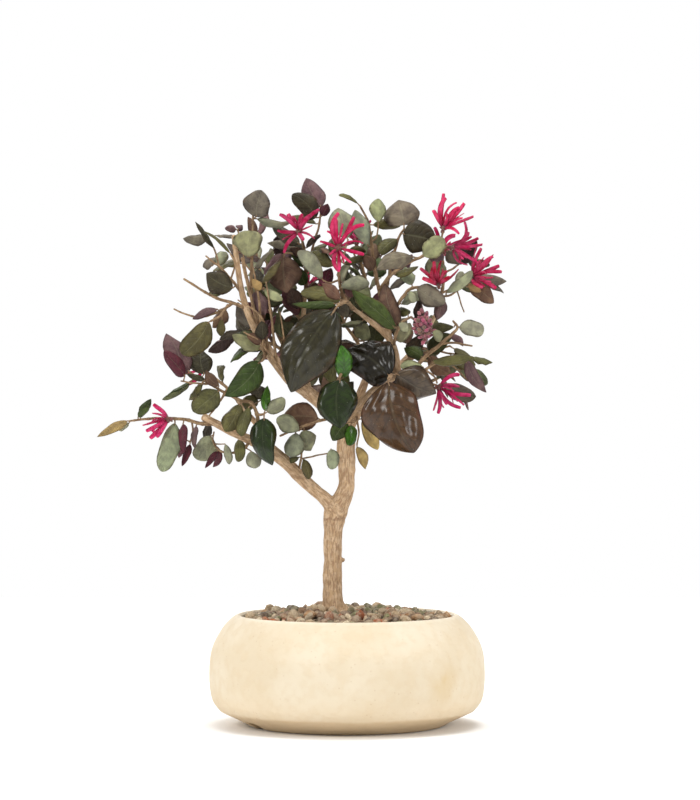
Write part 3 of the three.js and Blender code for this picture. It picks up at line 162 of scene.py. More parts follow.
# The tent looks white, but it lights the tree more weakly than it looks, so that dark leaves stay dark.
TENT_LIGHT = 0.5
world = bpy.data.worlds.new("studio_tent")
bpy.context.scene.world = world
world.use_nodes = True
tent = world.node_tree
looked_at = tent.nodes.new("ShaderNodeLightPath").outputs["Is Camera Ray"]
strength = tent.nodes.new("ShaderNodeMapRange")
strength.inputs["To Min"].default_value = TENT_LIGHT
strength.inputs["To Max"].default_value = 1.0
tent.links.new(looked_at, strength.inputs["Value"])
tent.nodes["Background"].inputs["Color"].default_value = (1.0, 1.0, 1.0, 1)
tent.links.new(strength.outputs["Result"], tent.nodes["Background"].inputs["Strength"])

# The plain view transform keeps the petals' strong pink and a white tent white.
bpy.context.scene.view_settings.view_transform = "Standard"

FLOOR_SIDE = 2.2  # m
FLOOR_DROP = 0.0005  # m below the pot's base, so that the two don't share one plane
floor_mesh = bpy.data.meshes.new("floor")
half_side = FLOOR_SIDE / 2
signs = ((-1, -1), (1, -1), (1, 1), (-1, 1))
floor_corners = [(x * half_side, y * half_side, -FLOOR_DROP) for x, y in signs]
floor_mesh.from_pydata(floor_corners, [], [(0, 1, 2, 3)])
floor = put_in_scene("floor", floor_mesh)

# %% [markdown]
# ## Finishes as node trees
#
# Every finish is a small tree of shader nodes. Writing one by hand in Python means many lines of links, so
# a short helper adds a node, sets its options and links or fills its inputs in one call. Effects that
# several finishes share, such as mottling, veins and bark, are node groups with named inputs.

# %% Helpers that write node trees
def linear(red, green, blue):
    """A colour read off a picture, 0 to 255, as the linear numbers that a shader uses."""
    shares = np.array([red, green, blue]) / 255
    return (*np.where(shares <= 0.04045, shares / 12.92, ((shares + 0.055) / 1.055) ** 2.4), 1.0)


def feed(tree, socket, value):
    """Links another node's output to a socket, or sets the socket's own value."""
    if isinstance(value, bpy.types.NodeSocket):
        tree.links.new(value, socket)
    else:
        socket.default_value = value


def add_node(tree, kind, inputs=None, **options):
    """Adds a shader node. inputs maps a socket's name or number to a value or to another node's output."""
    made = tree.nodes.new("ShaderNode" + kind)
    made.location = (190 * (len(tree.nodes) % 12), -260 * (len(tree.nodes) // 12))
    for option, value in options.items():
        setattr(made, option, value)
    for socket, value in (inputs or {}).items():
        feed(tree, made.inputs[socket], value)
    return made


def math_node(tree, operation, a, b=0.0, c=0.0, clamp=False):
    """The output of a Math node: operation on a, b and c."""
    return add_node(tree, "Math", {0: a, 1: b, 2: c}, operation=operation, use_clamp=clamp).outputs[0]


def ramp(tree, value, low, high, to_low=0.0, to_high=1.0):
    """value carried smoothly from the range low..high to the range to_low..to_high."""
    inputs = {"Value": value, "From Min": low, "From Max": high, "To Min": to_low, "To Max": to_high}
    return add_node(tree, "MapRange", inputs, interpolation_type="SMOOTHSTEP").outputs["Result"]


def mix_colours(tree, share, a, b, blend="MIX"):
    """The colour a share of the way from a to b, or b laid over a in another blend mode."""
    options = {"data_type": "RGBA", "blend_type": blend}
    return add_node(tree, "Mix", {0: share, 6: a, 7: b}, **options).outputs[2]


def tinged(tree, amount, most, colour, shade, blend="MIX"):
    """A colour carried towards a shade by an amount from 0 to 1, and at most by the share most."""
    return mix_colours(tree, math_node(tree, "MULTIPLY", amount, most), colour, shade, blend)


def new_group(name, inputs, outputs):
    """An empty shader node group. inputs maps names to (kind, default), and outputs maps names to kinds."""
    group = bpy.data.node_groups.new(name, "ShaderNodeTree")
    for label, (kind, default) in inputs.items():
        socket = group.interface.new_socket(name=label, in_out="INPUT", socket_type="NodeSocket" + kind)
        if default is not None:
            socket.default_value = default
    for label, kind in outputs.items():
        group.interface.new_socket(name=label, in_out="OUTPUT", socket_type="NodeSocket" + kind)
    return group, group.nodes.new("NodeGroupInput").outputs, group.nodes.new("NodeGroupOutput").inputs


def place_group(tree, group, **inputs):
    """The outputs of a copy of a group in a tree."""
    return add_node(tree, "Group", inputs, node_tree=group).outputs


def own_place(tree):
    """Places on the piece, in metres."""
    return add_node(tree, "TexCoord").outputs["Object"]


def stored(tree, label, output="Color"):
    """What the mesh stores under a label, such as each leaf's tint."""
    return add_node(tree, "Attribute", attribute_name=label).outputs[output]


def new_finish(name, roughness=0.5, **shader_values):
    """A material, its tree and its Principled BSDF, with constants set on the shader's own sockets."""
    material = bpy.data.materials.new(name)
    material.use_nodes = True
    shader = material.node_tree.nodes["Principled BSDF"]
    shader.inputs["Roughness"].default_value = roughness
    for label, value in shader_values.items():
        shader.inputs[label.replace("_", " ")].default_value = value
    return material, material.node_tree, shader


def cover(tree, shader, colour, height, relief, roughness=None):
    """Feeds a shader its colour, its roughness and a height, 0 to 1, that lifts the surface by relief m."""
    tree.links.new(colour, shader.inputs["Base Color"])
    if roughness is not None:
        tree.links.new(roughness, shader.inputs["Roughness"])
    bump = add_node(tree, "Bump", {"Height": height, "Distance": relief})
    tree.links.new(bump.outputs["Normal"], shader.inputs["Normal"])


print("helpers ready")

# %% [markdown]
# ## Effects that several finishes share
#
# Nothing on a living tree has one flat colour. "Mottle" is the cloudy change that pot, bark, leaf and
# petal all show. "Specks" gives small separate dots, as in stoneware and on dusty leaves. "Leaf veins"
# reads a blade's own UV map, where u runs across and v from base to tip, and draws a midrib with curved
# pairs of side veins. "Bark" stretches its noise along the branch, as fissures run.

# %% Mottle and specks
mottle, taken, given = new_group(
    "Mottle",
    {
        "Vector": ("Vector", None), "Scale": ("Float", 100.0), "Detail": ("Float", 4.0),
        "Low": ("Float", 0.35), "High": ("Float", 0.65),
    },
    {"Amount": "Float"},
)
cloud = add_node(mottle, "TexNoise", {label: taken[label] for label in ("Vector", "Scale", "Detail")})
mottle.links.new(ramp(mottle, cloud.outputs[0], taken["Low"], taken["High"]), given["Amount"])

specks, taken, given = new_group(
    "Specks",
    {
        "Vector": ("Vector", None), "Scale": ("Float", 500.0), "Size": ("Float", 0.15),
        "Share": ("Float", 0.3),
    },
    {"Amount": "Float"},
)
cells = add_node(specks, "TexVoronoi", {"Vector": taken["Vector"], "Scale": taken["Scale"]})
dot = math_node(specks, "LESS_THAN", cells.outputs["Distance"], taken["Size"])
cell_number = add_node(specks, "SeparateColor", {0: cells.outputs["Color"]}).outputs[0]
chosen = math_node(specks, "LESS_THAN", cell_number, taken["Share"])
specks.links.new(math_node(specks, "MULTIPLY", dot, chosen), given["Amount"])


def mottled(tree, place, scale, detail, low, high):
    """Clouds from 0 to 1, with scale clouds to a metre. Noise from low to high makes the cloud's edge."""
    return place_group(tree, mottle, Vector=place, Scale=scale, Detail=detail, Low=low, High=high)["Amount"]


def specked(tree, place, scale, size, share):
    """Dots of a size in a share of the cells, with scale cells to a metre: 1 in a dot and 0 elsewhere."""
    return place_group(tree, specks, Vector=place, Scale=scale, Size=size, Share=share)["Amount"]


print("groups:", mottle.name, specks.name)

# %% Leaf veins
VEIN_PAIRS = 6.5
VEIN_SLANT = 1.7  # how many pairs a side vein passes on its way to the margin
VEIN_CURVE = 1.25
leaf_veins, taken, given = new_group(
    "Leaf veins",
    {
        "UV": ("Vector", None), "Pairs": ("Float", VEIN_PAIRS), "Slant": ("Float", VEIN_SLANT),
        "Width": ("Float", 0.16),
    },
    {"Veins": "Float", "Quilt": "Float", "Margin": "Float"},
)
parts = add_node(leaf_veins, "SeparateXYZ", {0: taken["UV"]})
side = math_node(leaf_veins, "ABSOLUTE", math_node(leaf_veins, "MULTIPLY_ADD", parts.outputs[0], 2.0, -1.0))
curved = math_node(leaf_veins, "POWER", side, VEIN_CURVE)
phase = math_node(leaf_veins, "MULTIPLY", parts.outputs[1], taken["Pairs"])
phase = math_node(leaf_veins, "SUBTRACT", phase, math_node(leaf_veins, "MULTIPLY", curved, taken["Slant"]))
saw = math_node(leaf_veins, "PINGPONG", phase, 0.5)
saw = math_node(leaf_veins, "MULTIPLY", saw, 2.0)
side_vein = ramp(leaf_veins, saw, 0.0, taken["Width"], 1.0, 0.0)
fading = ramp(leaf_veins, side, 0.55, 1.0, 0.75, 0.0)
midrib = ramp(leaf_veins, side, 0.02, 0.085, 1.0, 0.0)
lines = math_node(leaf_veins, "MAXIMUM", midrib, math_node(leaf_veins, "MULTIPLY", side_vein, fading))
domed = math_node(leaf_veins, "POWER", saw, 0.6)
pillow = math_node(leaf_veins, "MULTIPLY", domed, ramp(leaf_veins, side, 0.0, 0.2))
leaf_veins.links.new(lines, given["Veins"])
leaf_veins.links.new(pillow, given["Quilt"])
leaf_veins.links.new(ramp(leaf_veins, side, 0.75, 1.0), given["Margin"])
print("group:", leaf_veins.name)

# %% Bark
bark_effect, taken, given = new_group(
    "Bark",
    {"Grain": ("Vector", None), "Scale": ("Float", 260.0), "Stretch": ("Float", 0.14)},
    {"Fissures": "Float", "Patches": "Float", "Pores": "Float"},
)
along_branch = add_node(bark_effect, "CombineXYZ", {0: 1.0, 1: 1.0, 2: taken["Stretch"]}).outputs[0]
factors = {0: taken["Grain"], 1: along_branch}
stretched = add_node(bark_effect, "VectorMath", factors, operation="MULTIPLY").outputs[0]
strands = add_node(
    bark_effect,
    "TexNoise",
    {"Vector": stretched, "Scale": taken["Scale"], "Detail": 7.0, "Roughness": 0.62, "Distortion": 0.4},
)
bark_effect.links.new(ramp(bark_effect, strands.outputs[0], 0.36, 0.62), given["Fissures"])
patch_scale = math_node(bark_effect, "MULTIPLY", taken["Scale"], 0.32)
patches = add_node(bark_effect, "TexNoise", {"Vector": taken["Grain"], "Scale": patch_scale, "Detail": 3.0})
bark_effect.links.new(ramp(bark_effect, patches.outputs[0], 0.38, 0.62), given["Patches"])
pore_scale = math_node(bark_effect, "MULTIPLY", taken["Scale"], 2.4)
bark_effect.links.new(specked(bark_effect, taken["Grain"], pore_scale, 0.22, 0.3), given["Pores"])
print("group:", bark_effect.name)

# %% [markdown]
# ## The leaf, bark and petal finishes
#
# A fringe-flower leaf is dark and waxy above and pale and felted below, and each one has its own mix of
# green, bronze and purple. The colour of each leaf is kept on the mesh as the attribute "tint", so that one
# finish serves every leaf, and the shader adds what all leaves share. The big old leaves shine like
# lacquer, which is a second finish with a coat over it.

# %% Satin and glossy leaves
def leaf_finish(name, roughness, shine, coat, coat_roughness, vein_light, quilt_height):
    """A leaf: its tint with clouding, paler veins, a browner margin, specks of dust and quilted relief."""
    coating = {"Coat_Weight": coat, "Coat_Roughness": coat_roughness}
    material, tree, shader = new_finish(name, roughness, Specular_IOR_Level=shine, **coating)
    place = own_place(tree)
    tint = stored(tree, "tint")
    under = stored(tree, "underside", "Fac")
    uv = add_node(tree, "UVMap", uv_map="blade").outputs["UV"]
    vein = place_group(tree, leaf_veins, UV=uv)
    clouds = mottled(tree, place, 190.0, 3.0, 0.36, 0.66)
    fine = mottled(tree, place, 1500.0, 2.0, 0.3, 0.7)
    darker = mix_colours(tree, 1.0, tint, (0.62, 0.6, 0.66, 1), "MULTIPLY")
    colour = mix_colours(tree, clouds, darker, tint)
    colour = tinged(tree, fine, 0.22, colour, (0.5, 0.5, 0.42, 1), "SOFT_LIGHT")
    lighter = mix_colours(tree, 0.35, tint, (0.5, 0.5, 0.3, 1))
    veined = math_node(tree, "MULTIPLY", vein["Veins"], vein_light)
    colour = mix_colours(tree, veined, colour, lighter)
    edge = math_node(tree, "MULTIPLY", vein["Margin"], math_node(tree, "MULTIPLY", clouds, 0.4))
    colour = mix_colours(tree, edge, colour, linear(96, 58, 44))
    dust = specked(tree, place, 620.0, 0.12, 0.2)
    colour = tinged(tree, dust, 0.3, colour, linear(190, 186, 168))
    dull = math_node(tree, "MULTIPLY_ADD", fine, 0.14, roughness - 0.05)
    duller = math_node(tree, "MULTIPLY_ADD", under, 0.25, dull, clamp=True)
    sunk = math_node(tree, "MULTIPLY", vein["Veins"], math_node(tree, "MULTIPLY_ADD", under, 1.6, -0.8))
    height = math_node(tree, "MULTIPLY_ADD", vein["Quilt"], 0.6, sunk)
    height = math_node(tree, "MULTIPLY_ADD", fine, 0.16, height)
    height = math_node(tree, "MULTIPLY_ADD", clouds, 0.35, height)
    cover(tree, shader, colour, height, quilt_height, duller)
    return material


leaf_satin = leaf_finish("leaf_satin", 0.55, 0.22, 0.0, 0.3, 0.2, 0.0003)
leaf_gloss = leaf_finish("leaf_gloss", 0.45, 0.05, 0.65, 0.25, 0.1, 0.0009)
print("finishes:", leaf_satin.name, leaf_gloss.name)


# %% Bark and twigs
COLLAR_HEIGHT = 0.129  # m, where the fork's collar of darker bark sits
COLLAR_WAVE = 0.0012  # m up and down
COLLAR_HALF = (0.0002, 0.0013)  # m, from full strength to none


def bark_finish(name, scale, stretch, light, middle, dark, relief):
    """Bark: three browns in patches and fissures that follow the branch, with pores and matt relief."""
    material, tree, shader = new_finish(name, 0.86)
    grain = stored(tree, "grain", "Vector")
    bark = place_group(tree, bark_effect, Grain=grain, Scale=scale, Stretch=stretch)
    colour = tinged(tree, bark["Patches"], 0.55, middle, light)
    colour = mix_colours(tree, ramp(tree, bark["Fissures"], 0.0, 0.8, 0.7, 0.0), colour, dark)
    colour = tinged(tree, bark["Pores"], 0.3, colour, light)
    height = add_node(tree, "SeparateXYZ", {0: own_place(tree)}).outputs[2]
    above_collar = math_node(tree, "SUBTRACT", height, COLLAR_HEIGHT)
    waved = math_node(tree, "MULTIPLY_ADD", bark["Patches"], COLLAR_WAVE, above_collar)
    collar = ramp(tree, math_node(tree, "ABSOLUTE", waved), *COLLAR_HALF, 0.6, 0.0)
    colour = mix_colours(tree, collar, colour, dark)
    height = math_node(tree, "MULTIPLY_ADD", bark["Pores"], 0.2, bark["Fissures"])
    cover(tree, shader, colour, height, relief)
    return material


BARK_BROWNS = (linear(226, 198, 164), linear(198, 164, 126), linear(142, 106, 76))
TWIG_BROWNS = (linear(188, 158, 120), linear(146, 116, 84), linear(90, 68, 50))
bark = bark_finish("bark", 1050.0, 0.2, *BARK_BROWNS, 0.0004)
twig_bark = bark_finish("twig_bark", 1100.0, 0.14, *TWIG_BROWNS, 0.0003)
print("finishes:", bark.name, twig_bark.name)

# %% Petals, flower cups and buds
silk = {"Sheen_Weight": 0.05, "Sheen_Roughness": 0.4, "Specular_IOR_Level": 0.2}
petal, tree, shader = new_finish("petal", 0.6, **silk)
strap = add_node(tree, "UVMap", uv_map="blade").outputs["UV"]
tint = stored(tree, "tint")
place = own_place(tree)
STREAKS = (14.0, 1.6, 1.0)  # across a petal and along it
long_way = add_node(tree, "VectorMath", {0: strap, 1: STREAKS}, operation="MULTIPLY").outputs[0]
streaks = mottled(tree, long_way, 1.0, 3.0, 0.34, 0.66)
blush = mottled(tree, place, 260.0, 2.0, 0.3, 0.7)
deep = mix_colours(tree, 1.0, tint, (0.55, 0.4, 0.45, 1), "MULTIPLY")
pale = mix_colours(tree, 0.3, tint, linear(255, 150, 196))
colour = mix_colours(tree, streaks, deep, tint)
colour = tinged(tree, blush, 0.6, colour, pale)
base_dark = ramp(tree, add_node(tree, "SeparateXYZ", {0: strap}).outputs[1], 0.0, 0.3, 0.7, 0.0)
colour = mix_colours(tree, base_dark, colour, linear(120, 12, 44))
cover(tree, shader, colour, streaks, 0.0002, math_node(tree, "MULTIPLY_ADD", streaks, 0.2, 0.42))

felt, tree, shader = new_finish("bud_felt", 0.8, Sheen_Weight=0.4, Sheen_Roughness=0.5)
place = own_place(tree)
tint = stored(tree, "tint")
fuzz = mottled(tree, place, 1600.0, 3.0, 0.35, 0.65)
warm = mottled(tree, place, 240.0, 2.0, 0.4, 0.6)
colour = mix_colours(tree, fuzz, mix_colours(tree, 1.0, tint, (0.5, 0.45, 0.5, 1), "MULTIPLY"), tint)
colour = tinged(tree, warm, 0.35, colour, linear(150, 96, 72))
cover(tree, shader, colour, fuzz, 0.0002)
print("finishes:", petal.name, felt.name)

# %% [markdown]
# ## The pot
#
# The pot is slip-cast stoneware: a low round bowl that swells to its widest a third of the way up and turns
# in to a narrow lip. It stands on a smaller foot below a bevel that the glaze stops at, which shows as a
# tan band. A pot like this is one profile turned round an axis, so it is made as a grid of profile by turn.
# Two drain holes open into grooves across the base, cut with the same sizes as the CAD pot.

# %% The surface helpers
ATTRIBUTE_KINDS = {1: ("FLOAT", "value"), 3: ("FLOAT_VECTOR", "vector"), 4: ("FLOAT_COLOR", "color")}


def place_on_mesh(name, points, face_sets, corner_values=None, point_values=None, uv=None):
    """A mesh from points in mm and arrays of three- or four-cornered faces.

    corner_values and point_values map an attribute's name to one value, or one colour, for each corner or
    point. uv gives each corner's place on the piece's own map.
    """
    mesh = bpy.data.meshes.new(name)
    corners = np.concatenate([faces.ravel() for faces in face_sets]).astype(np.int32)
    sides = np.concatenate([np.full(len(faces), faces.shape[1]) for faces in face_sets])
    starts = np.concatenate([[0], np.cumsum(sides)[:-1]]).astype(np.int32)
    mesh.vertices.add(len(points))
    mesh.vertices.foreach_set("co", (points * MM).astype(np.float32).ravel())
    mesh.loops.add(len(corners))
    mesh.loops.foreach_set("vertex_index", corners)
    mesh.polygons.add(len(sides))
    mesh.polygons.foreach_set("loop_start", starts)
    mesh.update(calc_edges=True)
    for domain, values in (("CORNER", corner_values or {}), ("POINT", point_values or {})):
        for label, value in values.items():
            width = 1 if value.ndim == 1 else value.shape[1]
            kind, word = ATTRIBUTE_KINDS[width]
            mesh.attributes.new(label, kind, domain).data.foreach_set(word, value.astype(np.float32).ravel())
    if uv is not None:
        mesh.uv_layers.new(name="blade").data.foreach_set("uv", uv.astype(np.float32).ravel())
    mesh.polygons.foreach_set("use_smooth", np.ones(len(sides), dtype=bool))
    return mesh


def add_piece(name, mesh, finishes, nodes, slot, face_finish=None):
    """Links a mesh as a piece that rides on the one body and stands for CAD nodes. The slot is not used."""
    piece = put_in_scene(name, mesh)
    for finish in finishes:
        mesh.materials.append(finish)
    if face_finish is not None:
        mesh.polygons.foreach_set("material_index", face_finish.astype(np.int32))
    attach(piece, "root")
    if nodes:
        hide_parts(*nodes)
    return piece


def grid_faces(rows, columns, closed_rows=False):
    """Four-cornered faces of a grid of points, stored row by row. closed_rows joins each row into a ring."""
    row = np.arange(rows - 1)[:, None] * columns
    column = np.arange(columns if closed_rows else columns - 1)[None, :]
    beside = (column + 1) % columns
    corners = [row + column, row + beside, row + columns + beside, row + columns + column]
    return np.stack(corners, -1).reshape(-1, 4)


def ring_stack(radius, height, count):
    """Rings of points round Z, one for each radius and height: an array of rings by count by 3."""
    turn = 2 * np.pi * np.arange(count) / count
    flat = radius[:, None, None] * np.stack([np.cos(turn), np.sin(turn)], -1)
    return np.concatenate([flat, np.broadcast_to(height[:, None, None], (len(height), count, 1))], -1)


def end_fans(count, last_start, pole):
    """Triangles that close a grid of rings: the first ring to a pole, and the last ring to the next one."""
    ring = np.arange(count)
    last = last_start + ring
    first_fan = np.stack([np.roll(ring, -1), ring, np.full(count, pole)], -1)
    return np.vstack([first_fan, np.stack([last, np.roll(last, -1), np.full(count, pole + 1)], -1)])


def repeated(faces, count, step):
    """The faces of count copies of a surface that has step points."""
    return (faces[None] + step * np.arange(count)[:, None, None]).reshape(-1, faces.shape[1])


def corner_count(squares, triangles):
    """How many corners the squares and triangles have together."""
    return 4 * len(squares) + 3 * len(triangles)


def linear_rows(colours):
    """Linear colours, one in each row, from colours read off a picture."""
    return np.array([linear(*colour) for colour in colours])


def with_modifiers(piece):
    """The mesh that a piece shows with its modifiers, which are then taken off."""
    bpy.context.view_layer.update()
    shown = piece.evaluated_get(bpy.context.evaluated_depsgraph_get())
    result = bpy.data.meshes.new_from_object(shown)
    piece.modifiers.clear()
    return result


def ripple(points, length, seed, waves=14):
    """A smooth bumpy field from -1 to 1: a sum of sine waves of about one length in seeded directions."""
    source = np.random.default_rng(seed)
    ways = source.normal(size=(3, waves))
    ways *= 2 * np.pi / (length * source.uniform(0.6, 1.7, waves)) / np.linalg.norm(ways, axis=0)
    return np.sin(points @ ways + source.uniform(0, 2 * np.pi, waves)).sum(axis=-1) / math.sqrt(waves)


print("surface helpers ready")

# %% The pot's profile and its turned surface
POT_TURN = 176  # points round the pot
POT_UNEVENNESS = 0.16  # mm
POT_OUTSIDE = [  # radius and height in mm, from the edge of the base to the lip
    (61.2, 0.0), (62.4, 0.5), (63.6, 1.4), (72.0, 5.4), (78.6, 8.5), (79.7, 9.1), (80.5, 10.0),
    (83.4, 13.8), (85.0, 17.8), (85.9, 24.0), (86.2, 31.0), (85.8, 40.0), (84.6, 47.0), (82.4, 52.6),
    (79.2, 58.4), (75.6, 63.2), (72.2, 66.4), (70.0, 67.9),
]
POT_LIP_AND_INSIDE = [  # over the lip and down the inner wall to the floor
    (68.4, 68.6), (67.2, 68.3), (66.5, 67.2), (67.6, 64.4), (70.6, 58.8), (74.6, 52.2), (77.4, 46.4),
    (79.4, 38.0), (79.6, 31.0), (78.3, 20.6), (73.0, 12.0), (68.0, 9.2), (60.0, 8.0),
]


def curve_through(stations, spacing):
    """A smooth line through stations.

    Each span is the cubic whose slope at a station is that of the chord between the station's neighbours.
    """
    stations = np.asarray(stations, dtype=float)
    before = np.vstack([2 * stations[0] - stations[1], stations[:-1]])
    after = np.vstack([stations[1:], 2 * stations[-1] - stations[-2]])
    slopes = (after - before) / 2
    spans = []
    for a, b, slope_a, slope_b in zip(stations, stations[1:], slopes, slopes[1:]):
        count = max(1, math.ceil(np.linalg.norm((b - a)[:3]) / spacing))
        t = (np.arange(count) / count)[:, None]
        spans.append(
            (2 * t**3 - 3 * t**2 + 1) * a + (t**3 - 2 * t**2 + t) * slope_a
            + (3 * t**2 - 2 * t**3) * b + (t**3 - t**2) * slope_b
        )
    return np.vstack([*spans, stations[-1:]])


def turned(profile, count):
    """A closed surface: profile points (radius, height) turned round Z, with both ends closed."""
    rings = ring_stack(profile[:, 0], profile[:, 1], count)
    points = np.vstack([rings.reshape(-1, 3), [[0, 0, profile[0, 1]], [0, 0, profile[-1, 1]]]])
    fans = end_fans(count, (len(profile) - 1) * count, len(points) - 2)
    return points, [grid_faces(len(profile), count, closed_rows=True), fans]


pot_profile = np.vstack([curve_through(POT_OUTSIDE, 1.6), curve_through(POT_LIP_AND_INSIDE, 1.8)])
pot_points, pot_faces = turned(pot_profile, POT_TURN)
swell = POT_UNEVENNESS * ripple(pot_points, 60, 5)[:, None] * (pot_points[:, 2:3] > 2)
away = pot_points * (1, 1, 0)
pot_points = pot_points + swell * away / np.maximum(np.linalg.norm(away, axis=1, keepdims=True), 1)
print(f"pot surface: {len(pot_points)} points, {pot_points[:, 2].max():.1f} mm high")

# %% Cut the drain holes and grooves
DRAIN_RADIUS = 6.0  # mm
DRAIN_DISTANCE = 32.0
DRAIN_TURNS = np.radians([30.0, 210.0])
GROOVE_WIDTH = 11.0
GROOVE_DEPTH = 4.2
GROOVE_LENGTH = 60.0
ROD_SIDES = 40
ROD_ENDS = np.array([-4.0, 16.0])  # mm, from below the foot to above the pot's floor
GROOVE_START = -6.0  # mm, below the foot


def drain_cutter(turn):
    """Two closed shapes: a round rod through the floor, and a groove under it, out past the foot."""
    out = np.array([math.cos(turn), math.sin(turn)])
    rod = ring_stack(np.full(2, DRAIN_RADIUS), ROD_ENDS, ROD_SIDES).reshape(-1, 3)
    rod = rod + [*(DRAIN_DISTANCE * out), 0]
    wide = np.array([-out[1], out[0]]) * GROOVE_WIDTH / 2
    low, high = DRAIN_DISTANCE, DRAIN_DISTANCE + GROOVE_LENGTH
    floor_plan = [out * low - wide, out * high - wide, out * high + wide, out * low + wide]
    trough = np.vstack([[*place, height] for height in (GROOVE_START, GROOVE_DEPTH) for place in floor_plan])
    return rod, trough


def cut_out(piece, cutters):
    """Takes closed meshes out of a piece and keeps the result as the piece's mesh."""
    for number, (points, face_sets) in enumerate(cutters):
        tool = put_in_scene(f"cutter_{number}", place_on_mesh("cutter", points, face_sets))
        cut = piece.modifiers.new("cut", "BOOLEAN")
        cut.operation, cut.solver, cut.object = "DIFFERENCE", "EXACT", tool
        piece.data = with_modifiers(piece)
        bpy.data.objects.remove(tool)


def prism(points):
    """A closed prism from its lower ring and then its upper ring."""
    count = len(points) // 2
    ends = [np.arange(count)[::-1][None, :], count + np.arange(count)[None, :]]
    return points, [grid_faces(2, count, closed_rows=True), *ends]


cutters = [prism(shape) for turn in DRAIN_TURNS for shape in drain_cutter(turn)]
pot_mesh = place_on_mesh("stoneware_pot", pot_points, pot_faces)
pot = add_piece("stoneware_pot", pot_mesh, [], ["pot"], "ceramic")
cut_out(pot, cutters)
pot.data.polygons.foreach_set("use_smooth", np.ones(len(pot.data.polygons), dtype=bool))
pot.data.set_sharp_from_angle(angle=math.radians(38))
print("pot faces:", len(pot.data.polygons))

# %% [markdown]
# ### The pot's stoneware
#
# The body is cream and matt, a little cloudy, with pinholes and a few tan specks. The foot below the bevel
# is bare and warmer. A faint yellow stain sits low on the right, where water has dried. The finish reads
# heights and places from Object coordinates, because the pot stands at the origin.

# %% Stoneware
stoneware, tree, shader = new_finish("cream_stoneware", 0.72)
place = own_place(tree)
height = add_node(tree, "SeparateXYZ", {0: place}).outputs[2]
clouds = mottled(tree, place, 24.0, 5.0, 0.36, 0.66)
small = mottled(tree, place, 150.0, 5.0, 0.42, 0.68)
colour = mix_colours(tree, clouds, linear(219, 206, 182), linear(213, 197, 169))
colour = tinged(tree, small, 0.3, colour, linear(210, 189, 156))
wavering = math_node(tree, "MULTIPLY_ADD", clouds, 0.0009, height)
foot_band = ramp(tree, wavering, 0.0088, 0.0112, 0.8, 0.0)
colour = mix_colours(tree, foot_band, colour, linear(203, 178, 142))
# Painted shade: the lower belly, which faces down and away from the light, is made darker and warmer towards
# the foot.
painted_low_shade = ramp(tree, wavering, 0.009, 0.03, 0.3, 0.0)
colour = mix_colours(tree, painted_low_shade, colour, linear(214, 188, 150))
STAIN_MIDDLE = (0.0575, -0.0625, 0.032)  # m
from_stain = add_node(tree, "VectorMath", {0: place, 1: STAIN_MIDDLE}, operation="DISTANCE").outputs["Value"]
stain = math_node(tree, "MULTIPLY", ramp(tree, from_stain, 0.0, 0.017, 0.5, 0.0), clouds)
colour = mix_colours(tree, stain, colour, linear(200, 166, 100))
# Painted highlight: the top of the lip, which faces up to the light, is made paler.
painted_lip_highlight = ramp(tree, height, 0.0665, 0.0685, 0.0, 0.35)
colour = mix_colours(tree, painted_lip_highlight, colour, linear(232, 221, 200))
flecks = specked(tree, place, 420.0, 0.2, 0.12)
colour = tinged(tree, flecks, 0.22, colour, linear(170, 128, 84))
dull = math_node(tree, "MULTIPLY_ADD", small, 0.14, 0.66)
pinholes = specked(tree, place, 900.0, 0.26, 0.12)
skin = math_node(tree, "MULTIPLY_ADD", pinholes, -0.5, small)
cover(tree, shader, colour, math_node(tree, "MULTIPLY_ADD", clouds, 0.6, skin), 0.00018, dull)
pot.data.materials.append(stoneware)

mesh_plastic, tree, shader = new_finish("drain_mesh_plastic", 0.55)
place = own_place(tree)
silt = mottled(tree, place, 380.0, 4.0, 0.45, 0.7)
cover(tree, shader, mix_colours(tree, silt, linear(38, 40, 38), linear(92, 76, 58)), silt, 0.0002)
for number in (1, 2):
    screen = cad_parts[f"drain_screen_{number}"]
    screen.data.materials.clear()
    screen.data.materials.append(mesh_plastic)
print("finishes:", stoneware.name, mesh_plastic.name)

# %% [markdown]
# ## Soil and gravel
#
# The pot is filled with dark crumbly soil, heaped a little towards the trunk, and dressed with river gravel
# in beige, brown, grey and green. The crumb is a disc of rings pushed up and down by ripples. A stone is a
# rounded ball with few faces, stretched, turned and dented. One ball is worked out once, and numpy makes all
# the stones from it, each with its own sizes, turn, dents and colour.

# %% The crumbly soil
BED_RADIUS = 66.6  # mm
BED_EDGE = 62.9  # height of the soil at the wall
BED_RISE = 5.2  # from the wall to the trunk
BED_LAYER = 0.6  # the crumb's thickness at the wall


def soil_height(radius):
    """Height in mm of the soil's surface at a distance from the pot's axis, before its crumbs."""
    return BED_EDGE + BED_RISE * (1 - np.minimum(radius / BED_RADIUS, 1) ** 1.6)


def soil_disc(rings, spokes):
    """A disc of rings by spokes with a flat underside, raised and lowered by ripples."""
    radius = BED_RADIUS * (np.arange(1, rings + 1) / rings)
    top = ring_stack(radius, soil_height(radius), spokes).reshape(-1, 3)
    top[:, 2] += 0.55 * ripple(top, 7, 3) + 0.4 * ripple(top, 2.6, 4)
    underside = BED_EDGE - BED_LAYER
    under = top[-spokes:] * (1, 1, 0) + (0, 0, underside)
    points = np.vstack([top, under, [[0, 0, soil_height(0)], [0, 0, underside]]])
    fans = end_fans(spokes, rings * spokes, len(points) - 2)[:, [1, 0, 2]]
    return points, [grid_faces(rings + 1, spokes, closed_rows=True)[:, ::-1], fans]


crumb, tree, shader = new_finish("dark_crumb", 0.95)
place = own_place(tree)
coarse = mottled(tree, place, 300.0, 6.0, 0.38, 0.64)
bits = specked(tree, place, 700.0, 0.34, 0.25)
colour = mix_colours(tree, coarse, linear(34, 24, 18), linear(84, 62, 46))
colour = tinged(tree, bits, 0.6, colour, linear(150, 118, 84))
cover(tree, shader, colour, math_node(tree, "MULTIPLY_ADD", bits, 0.5, coarse), 0.0009)

